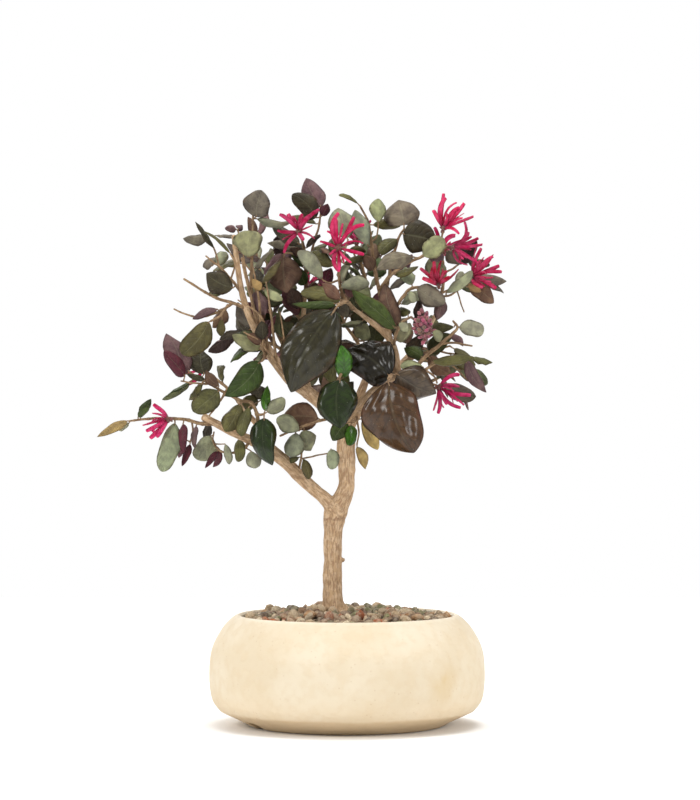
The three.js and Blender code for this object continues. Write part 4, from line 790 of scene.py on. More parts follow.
soil_points, soil_faces = soil_disc(30, 120)
add_piece("soil_crumb", place_on_mesh("soil_crumb", soil_points, soil_faces), [crumb], [], "soil")
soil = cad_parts["soil"]
soil.data.materials.clear()
soil.data.materials.append(crumb)
print("soil disc:", len(soil_points), "points")

# %% The gravel
STONE_COUNT = 560
STONE_HALF = (1.8, 4.3)  # mm, half a stone's length
STONE_COLOURS = [
    (190, 164, 132), (164, 132, 102), (140, 112, 88), (212, 192, 160), (124, 116, 84), (170, 96, 52),
    (104, 84, 66), (178, 156, 128), (136, 134, 92), (222, 206, 176), (116, 82, 58), (182, 140, 98),
    (152, 122, 94), (196, 172, 138),
]
TRUNK_FOOT = (334, 617, 0)  # place of the trunk on the elevation where it leaves the gravel
STONE_LEAST, STONE_MOST = [0.85, 0.6, 0.5], [1.15, 0.95, 0.8]  # length, width and height, in halves
STONE_DENT = 0.22
BALL_FACES = 80  # of the rounded ball below
TRUNK_CLEARANCE = 7.5  # mm round the trunk's middle
SPARSE_FROM = 44  # mm to the right of the axis, where more soil shows
SPARSE_SHARE = 0.55  # of the stones there, left out


def rounded_ball():
    """A ball of 42 points and 80 faces: an icosahedron whose edges are halved and pushed outwards."""
    golden = (1 + math.sqrt(5)) / 2
    corners = np.array([[-1, golden, 0], [1, golden, 0], [-1, -golden, 0], [1, -golden, 0]], dtype=float)
    corners = np.vstack([corners, np.roll(corners, 1, axis=1), np.roll(corners, 2, axis=1)])
    apart = np.linalg.norm(corners[:, None] - corners[None], axis=-1)
    near = np.isclose(apart, 2.0)
    first, second, third = np.nonzero(near[:, :, None] & near[None, :, :] & near[:, None, :])
    faces = np.stack([first, second, third], -1)
    faces = faces[(faces[:, 0] < faces[:, 1]) & (faces[:, 0] < faces[:, 2])]
    a, b, c = (corners[faces[:, k]] for k in range(3))
    faces = faces[(np.cross(b - a, c - a) * a).sum(axis=1) > 0]
    pairs = np.sort(faces[:, [0, 1, 1, 2, 2, 0]].reshape(-1, 2), axis=1)
    edges, place = np.unique(pairs, axis=0, return_inverse=True)
    middle = len(corners) + place.reshape(-1, 3)
    a, b, c = faces.T
    ab, bc, ca = middle.T
    split = np.concatenate([np.stack(s, -1) for s in ((a, ab, ca), (ab, b, bc), (ca, bc, c), (ab, bc, ca))])
    points = np.vstack([corners, corners[edges].mean(axis=1)])
    return points / np.linalg.norm(points, axis=1, keepdims=True), split


def turns_at_random(count, source):
    """count rotation matrices, spread evenly over all turns (from random unit quaternions)."""
    quaternions = source.normal(size=(4, count))
    w, x, y, z = quaternions / np.linalg.norm(quaternions, axis=0)
    rows = [
        [1 - 2 * (y * y + z * z), 2 * (x * y - z * w), 2 * (x * z + y * w)],
        [2 * (x * y + z * w), 1 - 2 * (x * x + z * z), 2 * (y * z - x * w)],
        [2 * (x * z - y * w), 2 * (y * z + x * w), 1 - 2 * (x * x + y * y)],
    ]
    return np.moveaxis(np.array(rows), -1, 0)


def scattered_stones(count, seed):
    """Stones laid out on a sunflower spiral with jitter, each an uneven ball: points, faces and colours."""
    source = np.random.default_rng(seed)
    ball, faces = rounded_ball()
    order = np.arange(count)
    radius = (BED_RADIUS - 2.6) * np.sqrt((order + 0.5) / count) + source.uniform(-1, 1, count)
    turn = order * math.radians(GOLDEN_ANGLE) + source.uniform(-0.2, 0.2, count) / np.maximum(radius, 4)
    half = source.uniform(*STONE_HALF, count) * source.uniform(0.8, 1.25, count)
    middle = np.stack([radius * np.cos(turn), radius * np.sin(turn)], -1)
    trunk = seen(TRUNK_FOOT)[:2]
    keep = np.linalg.norm(middle - trunk, axis=1) > TRUNK_CLEARANCE + 0.6 * half
    keep &= radius + 0.8 * half < BED_RADIUS - 0.4
    sparse = (middle[:, 0] > SPARSE_FROM) & (source.uniform(size=count) < SPARSE_SHARE)
    keep &= ~sparse
    middle, half, radius = middle[keep], half[keep], radius[keep]
    count = len(half)
    shape = source.uniform(STONE_LEAST, STONE_MOST, (count, 3)) * half[:, None]
    humps = ball @ source.normal(size=(3, count)) * 2.4
    dents = 1 + STONE_DENT * np.sin(humps + source.uniform(0, 6.28, count))
    points = (ball[None] * dents.T[:, :, None]) * shape[:, None, :]
    points = np.einsum("nij,nkj->nki", turns_at_random(count, source), points)
    lift = soil_height(radius) + 0.35 * half + source.uniform(0.0, 1.9, count) ** 1.4
    points += np.concatenate([middle, lift[:, None]], axis=1)[:, None, :]
    all_faces = repeated(faces, count, len(ball))
    palette = linear_rows(STONE_COLOURS)
    colours = palette[source.integers(0, len(palette), count)] * source.uniform(0.75, 1.15, (count, 1))
    return points.reshape(-1, 3), all_faces, np.repeat(colours, len(ball), axis=0)


river_stone, tree, shader = new_finish("river_stone", 0.8)
place = own_place(tree)
tint = stored(tree, "tint")
grain = mottled(tree, place, 900.0, 5.0, 0.35, 0.66)
bands = mottled(tree, place, 260.0, 3.0, 0.4, 0.6)
shadowed = mix_colours(tree, 1.0, tint, (0.66, 0.6, 0.54, 1), "MULTIPLY")
colour = mix_colours(tree, grain, shadowed, tint)
colour = tinged(tree, bands, 0.35, colour, linear(206, 190, 164))
chips = specked(tree, place, 1300.0, 0.3, 0.2)
colour = tinged(tree, chips, 0.4, colour, linear(70, 56, 46))
dull = math_node(tree, "MULTIPLY_ADD", grain, 0.2, 0.66)
cover(tree, shader, colour, math_node(tree, "MULTIPLY_ADD", chips, -0.4, grain), 0.0003, dull)

stone_points, stone_faces, stone_colours = scattered_stones(STONE_COUNT, 12)
stone_tints = {"tint": stone_colours}
stone_mesh = place_on_mesh("gravel_stones", stone_points, [stone_faces], point_values=stone_tints)
add_piece("gravel_stones", stone_mesh, [river_stone], ["gravel"], "gravel")
print("stones:", len(stone_faces) // BALL_FACES, "top", round(float(stone_points[:, 2].max()), 1), "mm")

# %% [markdown]
# ## The wood
#
# The trunk rises from the gravel, thickens at an old pruning collar and forks. One limb reaches far to the
# left, and the other carries the crown. Real branches grow out of each other without a seam. So each branch
# is first a round tube carried along a smooth line, then all tubes are fused into one skin with a voxel
# remesh and relaxed, and at last the skin is pushed in and out by ripples that run along the grain.

# %% The trunk and branches on the elevation
# Each branch is a list of stations (column, row, front, radius in steps).
WOOD = {
    "trunk": [
        (334, 642, 0, 12.5), (334, 628, 0, 13.4), (334, 617, 0, 12.4), (333, 603, 0, 10.9),
        (332.5, 580, 0, 9.7), (332.5, 555, 0, 9.2), (333, 532, 0, 9.4), (334, 519, 0, 11.2),
        (337, 509, 0, 11.6), (343, 497, 0, 9.4), (346.5, 484, 0, 8.4), (346.5, 466, 0, 8.7),
        (346, 448, 0, 9.2), (346, 434, -1, 9.4), (344, 424, -2, 8.2),
    ],
    "limb_left": [
        (337, 513, 0, 8.2), (326, 500, 1, 6.9), (312, 487.5, 3, 6.4), (299, 475.5, 5, 6.8),
        (285, 462, 7, 6.6), (272, 451, 9, 6.2), (256, 442.5, 11, 5.4), (238, 434.5, 13, 4.8),
        (221, 426, 15, 4.4), (204, 417.5, 16, 4.2),
    ],
    "rise_left": [
        (345, 431, -2, 7.6), (333, 415, -4, 7.2), (320, 402, -6, 7.0), (306, 391, -6, 6.8),
        (291, 380, -4, 6.2), (279, 366, -2, 5.6), (267, 349, 0, 5.0), (256, 330, 3, 4.4),
        (247, 310, 6, 3.8), (241, 288, 9, 3.3), (237, 262, 11, 3.0), (234, 236, 12, 2.8),
    ],
    "rise_second": [
        (262, 341, 1, 3.4), (257, 318, -6, 3.0), (252, 298, -6, 2.6), (246, 276, -4, 2.2),
        (242, 258, -2, 1.9),
    ],
    "rise_middle": [
        (308, 393, -6, 4.6), (305, 370, -16, 4.0), (303, 345, -23, 3.5), (303, 320, -26, 3.0),
        (305, 294, -26, 2.5),
    ],
    "rise_right": [
        (345, 431, -2, 7.2), (356, 413, 2, 6.4), (369, 397, 8, 5.6), (383, 383, 14, 5.0),
        (395, 374, 18, 4.4), (396, 358, 16, 4.0), (391, 342, 11, 3.6), (381, 330, 7, 3.2),
        (366, 318, 4, 2.8), (353, 308, 2, 2.4), (343, 296, 2, 2.1),
    ],
    "rise_crown": [(391, 343, 11, 3.0), (387, 322, 4, 2.8), (382, 300, 0, 2.6), (377, 281, 0, 2.3)],
    "reach_right": [(393, 374, 18, 3.6), (404, 372.5, 20, 3.0), (415, 370, 21, 2.5)],
    "knuckle": [(347, 428, 2, 4.6), (353, 418, 7, 3.8), (361, 412.5, 9, 3.0)],
    "back_crown": [
        (346, 441, -3, 5.6), (352, 416, -22, 5.0), (362, 390, -38, 4.4), (370, 365, -52, 3.8),
        (374, 338, -61, 3.2), (372, 312, -68, 2.6),
    ],
    "back_left": [
        (306, 390, -7, 4.4), (297, 371, -28, 3.9), (286, 349, -47, 3.3), (275, 325, -60, 2.8),
        (267, 300, -70, 2.3),
    ],
    "back_right": [
        (369, 397, 6, 4.4), (386, 380, -16, 3.9), (405, 360, -36, 3.3), (423, 338, -50, 2.8),
        (436, 314, -58, 2.3),
    ],
    "back_low_left": [
        (273, 451, 8, 4.2), (262, 431, -14, 3.4), (249, 415, -33, 2.8), (238, 401, -46, 2.3),
    ],
    "back_middle": [
        (353, 417, -22, 4.2), (337, 400, -42, 3.4), (326, 379, -57, 2.8), (319, 354, -67, 2.3),
    ],
    "back_low_right": [
        (355, 413, 0, 4.2), (373, 405, -26, 3.4), (393, 397, -46, 2.8), (412, 389, -60, 2.3),
    ],
}
FLARE = [  # surface roots: turn in degrees, then reach, start height, end height and start radius in mm
    (-6, 14, 77, 68, 2.6), (74, 14, 73, 67, 4.0), (140, 16, 72, 67, 3.8), (196, 17, 72, 67, 3.8),
    (262, 15, 73, 67, 4.2), (318, 17, 71, 67, 3.8),
]
KNOTS = [  # healed stubs: (column, row, front, radius) on the elevation
    (341, 517, 4, 4.8), (327, 522, 7, 4.4), (343, 560, 5, 2.6), (324, 575, 4, 2.4), (336, 545, 8.5, 2.2),
    (297, 477, 10, 3.4), (272, 447, 12, 3.0), (354, 470, 3, 2.6), (340, 455, 7, 2.4), (313, 485, 8, 2.6),
    (285, 372, 3, 2.8), (262, 342, 5, 2.8), (384, 381, 18, 2.6), (318, 404, 0, 3.0), (330, 600, 8, 2.8),
]
print(len(WOOD), "branches")


# %% Tubes along smooth lines
def unit(ways):
    """Directions scaled to length one."""
    ways = np.asarray(ways, dtype=float)
    return ways / np.maximum(np.linalg.norm(ways, axis=-1, keepdims=True), 1e-12)


def carried_frames(line):
    """Along, across and other at each point of a line. across is carried along the line without twist."""
    along = unit(np.gradient(line, axis=0))
    across = np.empty_like(line)
    held = np.array([0.0, 0, 1]) if abs(along[0, 2]) < 0.9 else np.array([1.0, 0, 0])
    for place, way in enumerate(along):
        held = unit(held - way * (held @ way))
        across[place] = held
    return along, across, np.cross(along, across)


def distance_along(line):
    """How far each point of a line lies from its start, measured along the line."""
    return np.concatenate([[0], np.cumsum(np.linalg.norm(np.diff(line, axis=0), axis=1))])


def tube(line, radius, sides, dome=0.7):
    """A closed round tube.

    A point is line + radius (cos across + sin other). Past each end a smaller ring and a pole make a dome.
    The last value is each point's grain: the same ring laid flat, with the distance along the line as its
    third number.
    """
    line, radius = np.asarray(line, dtype=float), np.asarray(radius, dtype=float)
    along, across, other = carried_frames(line)
    before = line[:1] - along[:1] * radius[0] * dome * 0.7
    after = line[-1:] + along[-1:] * radius[-1] * dome * 0.7
    line = np.vstack([before, line, after])
    radius = np.concatenate([[0.7 * radius[0]], radius, [0.7 * radius[-1]]])
    along, across, other = (np.vstack([part[:1], part, part[-1:]]) for part in (along, across, other))
    turn = 2 * np.pi * np.arange(sides) / sides
    spoke = across[:, None] * np.cos(turn)[None, :, None] + other[:, None] * np.sin(turn)[None, :, None]
    rings = line[:, None] + spoke * radius[:, None, None]
    low_pole = line[0] - along[0] * radius[0] * dome * 0.5
    poles = np.stack([low_pole, line[-1] + along[-1] * radius[-1] * dome * 0.5])
    travelled = distance_along(line)
    flat = ring_stack(radius, travelled, sides)
    points = np.vstack([rings.reshape(-1, 3), poles])
    grain = np.vstack([flat.reshape(-1, 3), [[0, 0, travelled[0]], [0, 0, travelled[-1]]]])
    caps = end_fans(sides, (len(line) - 1) * sides, len(points) - 2)
    return points, grid_faces(len(line), sides, closed_rows=True), caps, grain


def stem_curve(stations, spacing=2.0):
    """The smooth line in mm through stations (column, row, front, radius in steps), and its radii in mm."""
    whole = curve_through(np.column_stack(placed_stem(stations)), spacing)
    return whole[:, :3], whole[:, 3]


def joined(tubes):
    """Several tubes as one set of points, square faces, cap faces and grain."""
    starts = np.concatenate([[0], np.cumsum([len(tube_points) for tube_points, *_ in tubes])[:-1]])
    points, squares, caps, grain = (
        np.vstack([part + (start if place in (1, 2) else 0) for part, start in zip(parts, starts)])
        for place, parts in enumerate(zip(*tubes))
    )
    return points, squares, caps, grain


print("tube helpers ready")

# %% Fuse the branches into one skin
wood_curves = {name: stem_curve(stations) for name, stations in WOOD.items()}
BRANCH_SIDES, ROOT_SIDES, KNOT_SIDES = 20, 12, 10
ROOT_START = 3  # mm from the trunk's middle
wood_tubes = [tube(line, radius, BRANCH_SIDES) for line, radius in wood_curves.values()]
foot = seen(TRUNK_FOOT)
for turn, reach, start, end, thick in FLARE:
    way = np.array([math.cos(math.radians(turn)), math.sin(math.radians(turn))])
    share = np.linspace(0, 1, 9)
    run = ROOT_START + (reach - ROOT_START) * share
    line = np.column_stack([foot[:2] + way * run[:, None], start + (end - start) * share**0.7])
    wood_tubes.append(tube(line, thick * (1 - 0.6 * share), ROOT_SIDES))
for knot in KNOTS:
    middle = seen(knot[:3])
    line = middle + np.array([[0, 0, -0.5], [0, 0, 0.5]]) * knot[3] * STEP
    wood_tubes.append(tube(line, [knot[3] * STEP * 0.8] * 2, KNOT_SIDES))

VOXEL = 0.72  # mm
wood_points, wood_squares, wood_caps, _ = joined(wood_tubes)
rough_wood = place_on_mesh("tree_wood", wood_points, [wood_squares, wood_caps])
wood = add_piece("tree_wood", rough_wood, [], ["trunk"], "bark")
fuse = wood.modifiers.new("fuse", "REMESH")
fuse.mode, fuse.voxel_size, fuse.use_smooth_shade = "VOXEL", VOXEL * MM, True
fused = with_modifiers(wood)


def points_of(mesh):
    """A mesh's points in mm."""
    flat = np.empty(3 * len(mesh.vertices), dtype=np.float32)
    mesh.vertices.foreach_get("co", flat)
    return flat.reshape(-1, 3).astype(float) / MM


def relaxed(mesh, points, rounds):
    """Points moved half way to the mean of their neighbours, several times over."""
    pairs = np.empty(2 * len(mesh.edges), dtype=np.int32)
    mesh.edges.foreach_get("vertices", pairs)
    a, b = pairs.reshape(-1, 2).T
    ends, others = np.concatenate([a, b]), np.concatenate([b, a])
    links = np.bincount(ends, minlength=len(points))[:, None]
    for _ in range(rounds):
        total = np.stack([np.bincount(ends, points[others, k], len(points)) for k in range(3)], -1)
        points = 0.5 * points + 0.5 * total / np.maximum(links, 1)
    return points


skin = relaxed(fused, points_of(fused), 5)
print("fused skin:", len(skin), "points")


# %% Grain and relief on the skin
NEAREST_BLOCK = 4000  # points whose distances are worked out together


def nearest_on(points, samples):
    """The number of the sample nearest to each point, from blocks of distances."""
    nearest = np.empty(len(points), dtype=int)
    for start in range(0, len(points), NEAREST_BLOCK):
        part = slice(start, start + NEAREST_BLOCK)
        nearest[part] = ((points[part, None] - samples[None]) ** 2).sum(-1).argmin(axis=1)
    return nearest


BRANCH_SHIFT = 400  # mm of grain from one branch to the next, so that no two look alike
samples = {key: [] for key in ("line", "along", "across", "other", "travelled", "radius", "branch")}
for number, (line, radius) in enumerate(wood_curves.values()):
    along, across, other = carried_frames(line)
    travelled = distance_along(line) + BRANCH_SHIFT * number
    branch = np.full(len(line), number)
    for key, value in zip(samples, (line, along, across, other, travelled, radius, branch)):
        samples[key].append(value)
samples = {key: np.concatenate(part) for key, part in samples.items()}
nearest = nearest_on(skin, samples["line"])


def grain_at(points, sample):
    """Each point's place across, other and along its branch, in the frame of the given sample."""
    offset = points - samples["line"][sample]
    across, other, along = ((offset * samples[key][sample]).sum(-1) for key in ("across", "other", "along"))
    return np.stack([across, other, samples["travelled"][sample] + along], -1)


grain = grain_at(skin, nearest)
offset, along = skin - samples["line"][nearest], samples["along"][nearest]
away = unit(offset - along * (offset * along).sum(-1, keepdims=True))
strands = ripple(grain * (1, 1, 0.12), 2.6, 21)
swells = ripple(grain * (0.6, 0.6, 1), 9.0, 22)
creases = np.abs(ripple(grain * (1, 1, 0.2), 4.2, 23))
STRAND_RELIEF, SWELL_RELIEF, CREASE_RELIEF = 0.12, 0.26, 0.1  # mm
relief = STRAND_RELIEF * strands + SWELL_RELIEF * swells - CREASE_RELIEF * np.exp(-6 * creases)
relief = relief * np.clip(samples["radius"][nearest] / 6, 0.25, 1)
skin = skin + away * relief[:, None]

# Where two branches meet, a face takes its grain from one of them, and the step between them is relaxed.
corners, totals = np.empty(len(fused.loops), np.int32), np.empty(len(fused.polygons), np.int32)
fused.loops.foreach_get("vertex_index", corners)
fused.polygons.foreach_get("loop_total", totals)
starts = np.cumsum(totals) - totals
first_corner = np.repeat(corners[starts], totals)
branch = samples["branch"][nearest]
strangers = np.add.reduceat((branch[corners] != branch[first_corner]).astype(int), starts)
on_seam = np.repeat(strangers > 0, totals)
corner_grain = grain[corners]
corner_grain[on_seam] = grain_at(skin[corners[on_seam]], nearest[first_corner[on_seam]])
at_seam = np.unique(corners[on_seam])
skin[at_seam] = relaxed(fused, skin, 4)[at_seam]
fused.vertices.foreach_set("co", (skin * MM).astype(np.float32).ravel())
grain_store = fused.attributes.new("grain", "FLOAT_VECTOR", "CORNER")
grain_store.data.foreach_set("vector", (corner_grain * MM).astype(np.float32).ravel())
fused.materials.append(bark)
wood.data = fused
fused.update()
print("wood faces:", len(fused.polygons))

# %% [markdown]
# ## Sprays of leaves
#
# A spray is a leafy shoot: one or more thin stems with the leaves that grow from them. The sprays that the
# photograph shows are listed leaf by leaf, with each blade's base and tip on the elevation, its width, how
# far it rolls about its own length, and its colours. The sprays behind them follow a rule, which turns
# from one leaf to the next by the golden angle, as the shoots of many plants do.

# %% The sprays on the elevation
# A spray is its slot, its stems and its leaves. Stems are lists of (column, row, front, radius in steps). A
# leaf is (base column, row, front, tip column, row, front, width in steps, roll in degrees, finish).
SPRAYS = {
    "hero_left": ("leaf_purple", [
        [(353, 309, 1, 2.2), (347, 302, 25, 2.0), (338, 305, 50, 1.8)],
    ], [
        (334, 311, 54, 288, 389, 62, 55, 8, "gloss_dark"), (341, 300, 22, 301, 291, 12, 19, 20, "olive"),
        (340, 299, 42, 322, 283, 46, 13, 10, "brown"), (336, 304, 30, 292, 304, 22, 12, 35, "green"),
    ]),
    "hero_right": ("leaf_purple", [
        [(393, 374, 18, 2.4), (391, 376, 42, 2.1), (389, 379, 62, 1.9)],
    ], [
        (388, 382, 66, 411, 451, 74, 58, -8, "gloss_brown"),
        (397, 374, 46, 436, 396, 42, 36, 12, "gloss_mauve"),
        (390, 376, 36, 347, 346, 32, 46, 6, "gloss_black"), (386, 384, 46, 365, 412, 42, 11, 40, "brown"),
    ]),
    "hero_middle": ("leaf_green", [
        [(331, 413, -4, 2.2), (332, 398, 20, 1.9), (337, 383, 41, 1.7), (341, 374, 47, 1.5)],
    ], [
        (340, 380, 50, 340, 428, 55, 40, 5, "gloss_green"),
        (343, 378, 43, 342, 346, 46, 18, 10, "bright"), (334, 388, 28, 323, 352, 22, 15, 20, "olive"),
    ]),
    "low_tip": ("leaf_purple", [
        [(214, 424, 16, 2.2), (200, 423.5, 18, 1.9), (184, 419.5, 20, 1.7), (165, 418.5, 22, 1.5),
            (146, 419, 23, 1.3), (130, 421, 24, 1.0)],
        [(192, 422, 19, 1.1), (193, 432, 13, 0.9), (190, 442, 12, 0.8)],
    ], [
        (127, 421, 24, 97, 434, 27, 10, 15, "dry"), (129, 423, 22, 118, 430, 14, 7, 0, "sage"),
        (140, 416, 20, 151, 399, 12, 10, 30, "green"), (138, 417, 27, 149, 408, 36, 7, 10, "green"),
        (175, 423, 22, 161, 470, 29, 22, 8, "sage"), (183, 424, 23, 183, 450, 30, 10, 15, "wine"),
        (196, 426, 20, 194, 447, 27, 8, 25, "mauve"), (190, 444, 12, 182, 466, 15, 8, 10, "wine"),
        (186, 440, 8, 178, 461, 2, 7, 20, "wine"),
    ]),
    "low_under": ("leaf_green", [
        [(250, 440, 12, 1.8), (244, 449, 18, 1.4), (232, 453, 20, 1.2), (219, 450, 17, 1.0),
            (213, 441, 9, 0.9), (214, 432, 5, 0.8)],
    ], [
        (211, 436, 7, 197, 460, 12, 24, 5, "sage"), (217, 451, 18, 205, 468, 24, 7, 10, "wine"),
        (220, 450, 14, 213, 467, 6, 8, 10, "wine"), (225, 444, 23, 229, 464, 30, 9, 15, "sage"),
        (238, 440, 23, 238, 458, 28, 12, 15, "olive"), (251, 451, 18, 255, 468, 22, 16, 5, "sage"),
    ]),
    "mid_left": ("leaf_green", [
        [(262, 446, 10, 2.4), (259, 430, 18, 2.1), (257, 414, 22, 1.9), (251, 403, 22, 1.8),
            (240, 400, 22, 1.7), (226, 393, 23, 1.5), (210, 384, 25, 1.3), (196, 376, 26, 1.1),
            (188, 371, 26, 0.9)],
        [(210, 384, 25, 1.1), (196, 383.5, 31, 0.9), (181, 381, 33, 0.8)],
        [(257, 415, 22, 1.4), (264, 414, 27, 1.2)],
        [(226, 393, 23, 1.0), (220, 401, 18, 0.8), (214, 408, 16, 0.8)],
    ], [
        (264, 418, 31, 268, 464, 38, 27, 5, "gloss_green"),
        (265, 411, 25, 267, 386, 20, 12, 30, "bright"), (267, 412, 22, 285, 399, 16, 15, 10, "sage"),
        (186, 374, 24, 168, 330, 14, 25, 12, "mauve"), (185, 376, 30, 164, 351, 36, 15, 10, "wine"),
        (204, 374, 18, 201, 347, 10, 25, 8, "dark"), (205, 379, 34, 187, 374, 40, 7, 20, "dark"),
        (219, 386, 29, 206, 371, 36, 11, 10, "brown"), (219, 391, 30, 193, 411, 39, 25, 8, "olive"),
        (240, 404, 27, 226, 431, 34, 20, 8, "olive"), (244, 398, 18, 257, 405, 8, 17, 10, "olive"),
        (249, 407, 27, 241, 435, 32, 14, 12, "olive"), (262, 399, 14, 254, 380, 8, 16, 10, "dark"),
    ]),
    "limb_right": ("leaf_purple", [
        [(335, 417, -2, 1.9), (321, 420.5, 8, 1.5), (300, 427.5, 12, 1.2), (280, 436, 14, 1.0)],
    ], [
        (318, 418, 4, 278, 422, -6, 29, 8, "brown"), (299, 431, 17, 279, 417, 24, 19, 10, "sage"),
        (296, 433, 14, 291, 456, 20, 20, 5, "sage"), (304, 430, 10, 311, 451, 4, 21, 5, "sage"),
    ]),
    "limb_small": ("leaf_green", [
        [(298, 475, 5, 1.5), (300, 463, 11, 1.2), (302, 452, 12, 1.0), (304, 445, 12, 0.8)],
        [(301, 459, 11, 0.9), (316, 455.5, 14, 0.8), (329, 453.5, 15, 0.7)],
    ], [
        (303, 459, 15, 309, 478, 21, 11, 10, "olive"), (299, 457, 15, 290, 462, 21, 7, 10, "olive"),
        (331, 449, 17, 332, 467, 20, 14, 5, "sage"),
    ]),
    "knuckle": ("leaf_green", [
        [(356, 416, 8, 1.7), (357, 420, 18, 1.4), (352, 422, 22, 1.1)],
        [(357, 420, 18, 1.1), (359, 432, 12, 0.9), (357, 444, 10, 0.8)],
    ], [
        (347, 423, 22, 333, 441, 25, 19, 5, "green"), (351, 425, 26, 349, 446, 32, 13, 5, "bright"),
        (357, 447, 8, 367, 470, 4, 11, 10, "dry"), (364, 419, 18, 378, 450, 20, 16, 15, "dry"),
    ]),
    "upper_left": ("leaf_purple", [
        [(241, 292, 8, 1.7), (231, 279, 15, 1.4), (221, 268, 17, 1.2), (213, 262, 17, 1.0),
            (206, 256, 17, 0.8)],
        [(219, 266, 17, 1.0), (215, 251, 14, 0.9), (209, 240, 12, 0.8)],
        [(231, 279, 15, 1.0), (235, 264, 20, 0.9), (231, 255, 22, 0.8)],
    ], [
        (207, 239, 12, 182, 237, 12, 12, 12, "grey"), (214, 248, 20, 195, 222, 24, 10, 60, "dark"),
        (230, 253, 22, 204, 232, 24, 9, 60, "olive"), (217, 264, 10, 227, 251, 4, 13, 10, "sage"),
        (212, 266, 10, 204, 258, 2, 17, 10, "grey"), (233, 288, 20, 207, 274, 26, 24, 8, "dark"),
    ]),
    "upper_stub": ("leaf_purple", [
        [(235, 241, 12, 1.4), (239, 236, 6, 1.1), (238, 231, 4, 0.9)],
    ], [
        (236, 229, 4, 225, 228, 8, 8, 10, "mauve"), (238, 229, 2, 243, 224, -6, 8, 10, "mauve"),
    ]),
    "upper_pair": ("leaf_green", [
        [(252, 298, -6, 1.9), (251, 280, 2, 1.7), (252, 258, 4, 1.5), (253, 232, 3, 1.3),
            (253, 206, 2, 1.0)],
        [(251, 286, 0, 1.1), (257, 288, 8, 1.0), (262, 289, 12, 0.9)],
    ], [
        (248, 257, 12, 251, 231, 15, 30, 3, "lime"), (256, 217, 6, 264, 190, 0, 28, 5, "grey"),
        (254, 236, 0, 248, 217, -8, 10, 10, "brown"), (257, 219, 2, 290, 227, 0, 14, 50, "sage"),
        (261, 290, 16, 252, 280, 20, 10, 0, "dry"), (264, 289, 12, 281, 300, 16, 11, 10, "lime"),
        (258, 289, 4, 258, 268, -4, 15, 10, "dark"),
    ]),
    "side_twigs": ("leaf_green", [
        [(247, 309, 6, 1.9), (233, 303, 12, 1.7), (219, 299, 15, 1.5), (205, 292, 17, 1.3),
            (184, 279, 19, 1.1)],
        [(233, 303, 12, 1.5), (220, 311, 19, 1.3), (200, 317, 22, 1.1), (184, 313.5, 22, 0.9),
            (174, 309, 22, 0.8)],
        [(228, 305, 14, 1.3), (220, 316, 26, 1.2), (211, 321, 31, 1.1)],
    ], [
        (209, 322, 33, 183, 354, 39, 25, 5, "olive"), (216, 297, 10, 212, 286, 2, 14, 10, "olive"),
        (217, 309, 24, 193, 319, 30, 9, 25, "mauve"), (226, 310, 12, 211, 327, 6, 15, 15, "brown"),
        (222, 319, 22, 221, 337, 18, 9, 15, "olive"),
    ]),
    "left_fork": ("leaf_green", [
        [(267, 350, 0, 1.8), (265, 357, 12, 1.4), (262, 361, 18, 1.2)],
        [(265, 356, 10, 1.2), (263, 346, 16, 1.0), (263, 340, 18, 0.9)],
    ], [
        (260, 362, 20, 226, 396, 29, 27, 5, "green"), (263, 340, 20, 262, 321, 24, 14, 10, "dark"),
        (261, 343, 18, 247, 334, 14, 11, 15, "brown"),
    ]),
    "top_middle": ("leaf_purple", [
        [(305, 298, -26, 2.0), (306, 275, -20, 1.8), (305, 256, -10, 1.6), (303, 244, 0, 1.4),
            (299.5, 233, 13.5, 1.2)],
        [(306, 275, -20, 1.4), (313, 247, -20, 1.2), (319, 226, -20, 1.1), (321, 209, -20, 0.9)],
        [(305, 258, -11, 1.1), (293, 254, -10, 1.0), (285, 253, -7, 0.9)],
    ], [
        (321, 207, -20, 306, 178, -24, 24, 5, "mauve"), (316, 218, -18, 293, 194, -12, 21, 5, "dark"),
        (322, 216, -14, 328, 204, -10, 11, 10, "wine"), (316, 224, -24, 289, 216, -30, 11, 45, "olive"),
        (299, 244, 0, 271, 224, -8, 14, 10, "dark"), (296, 250, -12, 267, 243, -18, 11, 15, "grey"),
        (284, 256, -5, 285, 291, 2, 34, 10, "brown"), (305, 285, -18, 297, 268, -12, 13, 10, "green"),
        (283, 255, -14, 262, 276, -24, 18, 15, "mauve"),
    ]),
    "top_centre": ("leaf_green", [
        [(343, 298, 2, 2.0), (340, 284, 7, 1.7), (338, 268, 14, 1.4), (338, 249, 26, 1.2)],
        [(339, 280, 8, 1.1), (330, 283, 12, 1.0), (324, 281, 13, 0.8)],
        [(341, 288, 7, 1.1), (333, 297, 13, 1.0), (325, 294, 18, 0.8)],
        [(338, 268, 14, 1.1), (344, 254, 6, 0.9), (348, 240, 2, 0.8)],
    ], [
        (322, 279, 13, 298, 251, 18, 16, 5, "sage"), (325, 288, 20, 330, 266, 26, 15, 5, "wine"),
        (341, 288, 14, 369, 283, 20, 15, 25, "sage"), (333, 266, 8, 309, 249, -2, 16, 10, "olive"),
        (344, 264, 10, 371, 257, 4, 10, 30, "olive"), (348, 251, 0, 366, 252, -8, 9, 20, "olive"),
        (347, 238, 0, 339, 206, -6, 27, 5, "sage"),
    ]),
    "top_stem": ("leaf_green", [
        [(377, 284, 0, 2.2), (374, 262, -2, 2.0), (371, 240, -2, 1.7), (368, 222, -2, 1.3),
            (360, 206, -2, 0.9)],
        [(371, 242, -2, 1.0), (376, 238, 3, 0.9), (378, 229, 4, 0.8)],
    ], [
        (368, 246, 3, 355, 210, 8, 18, 8, "sage"), (358, 204, -2, 341, 193, 0, 8, 60, "olive"),
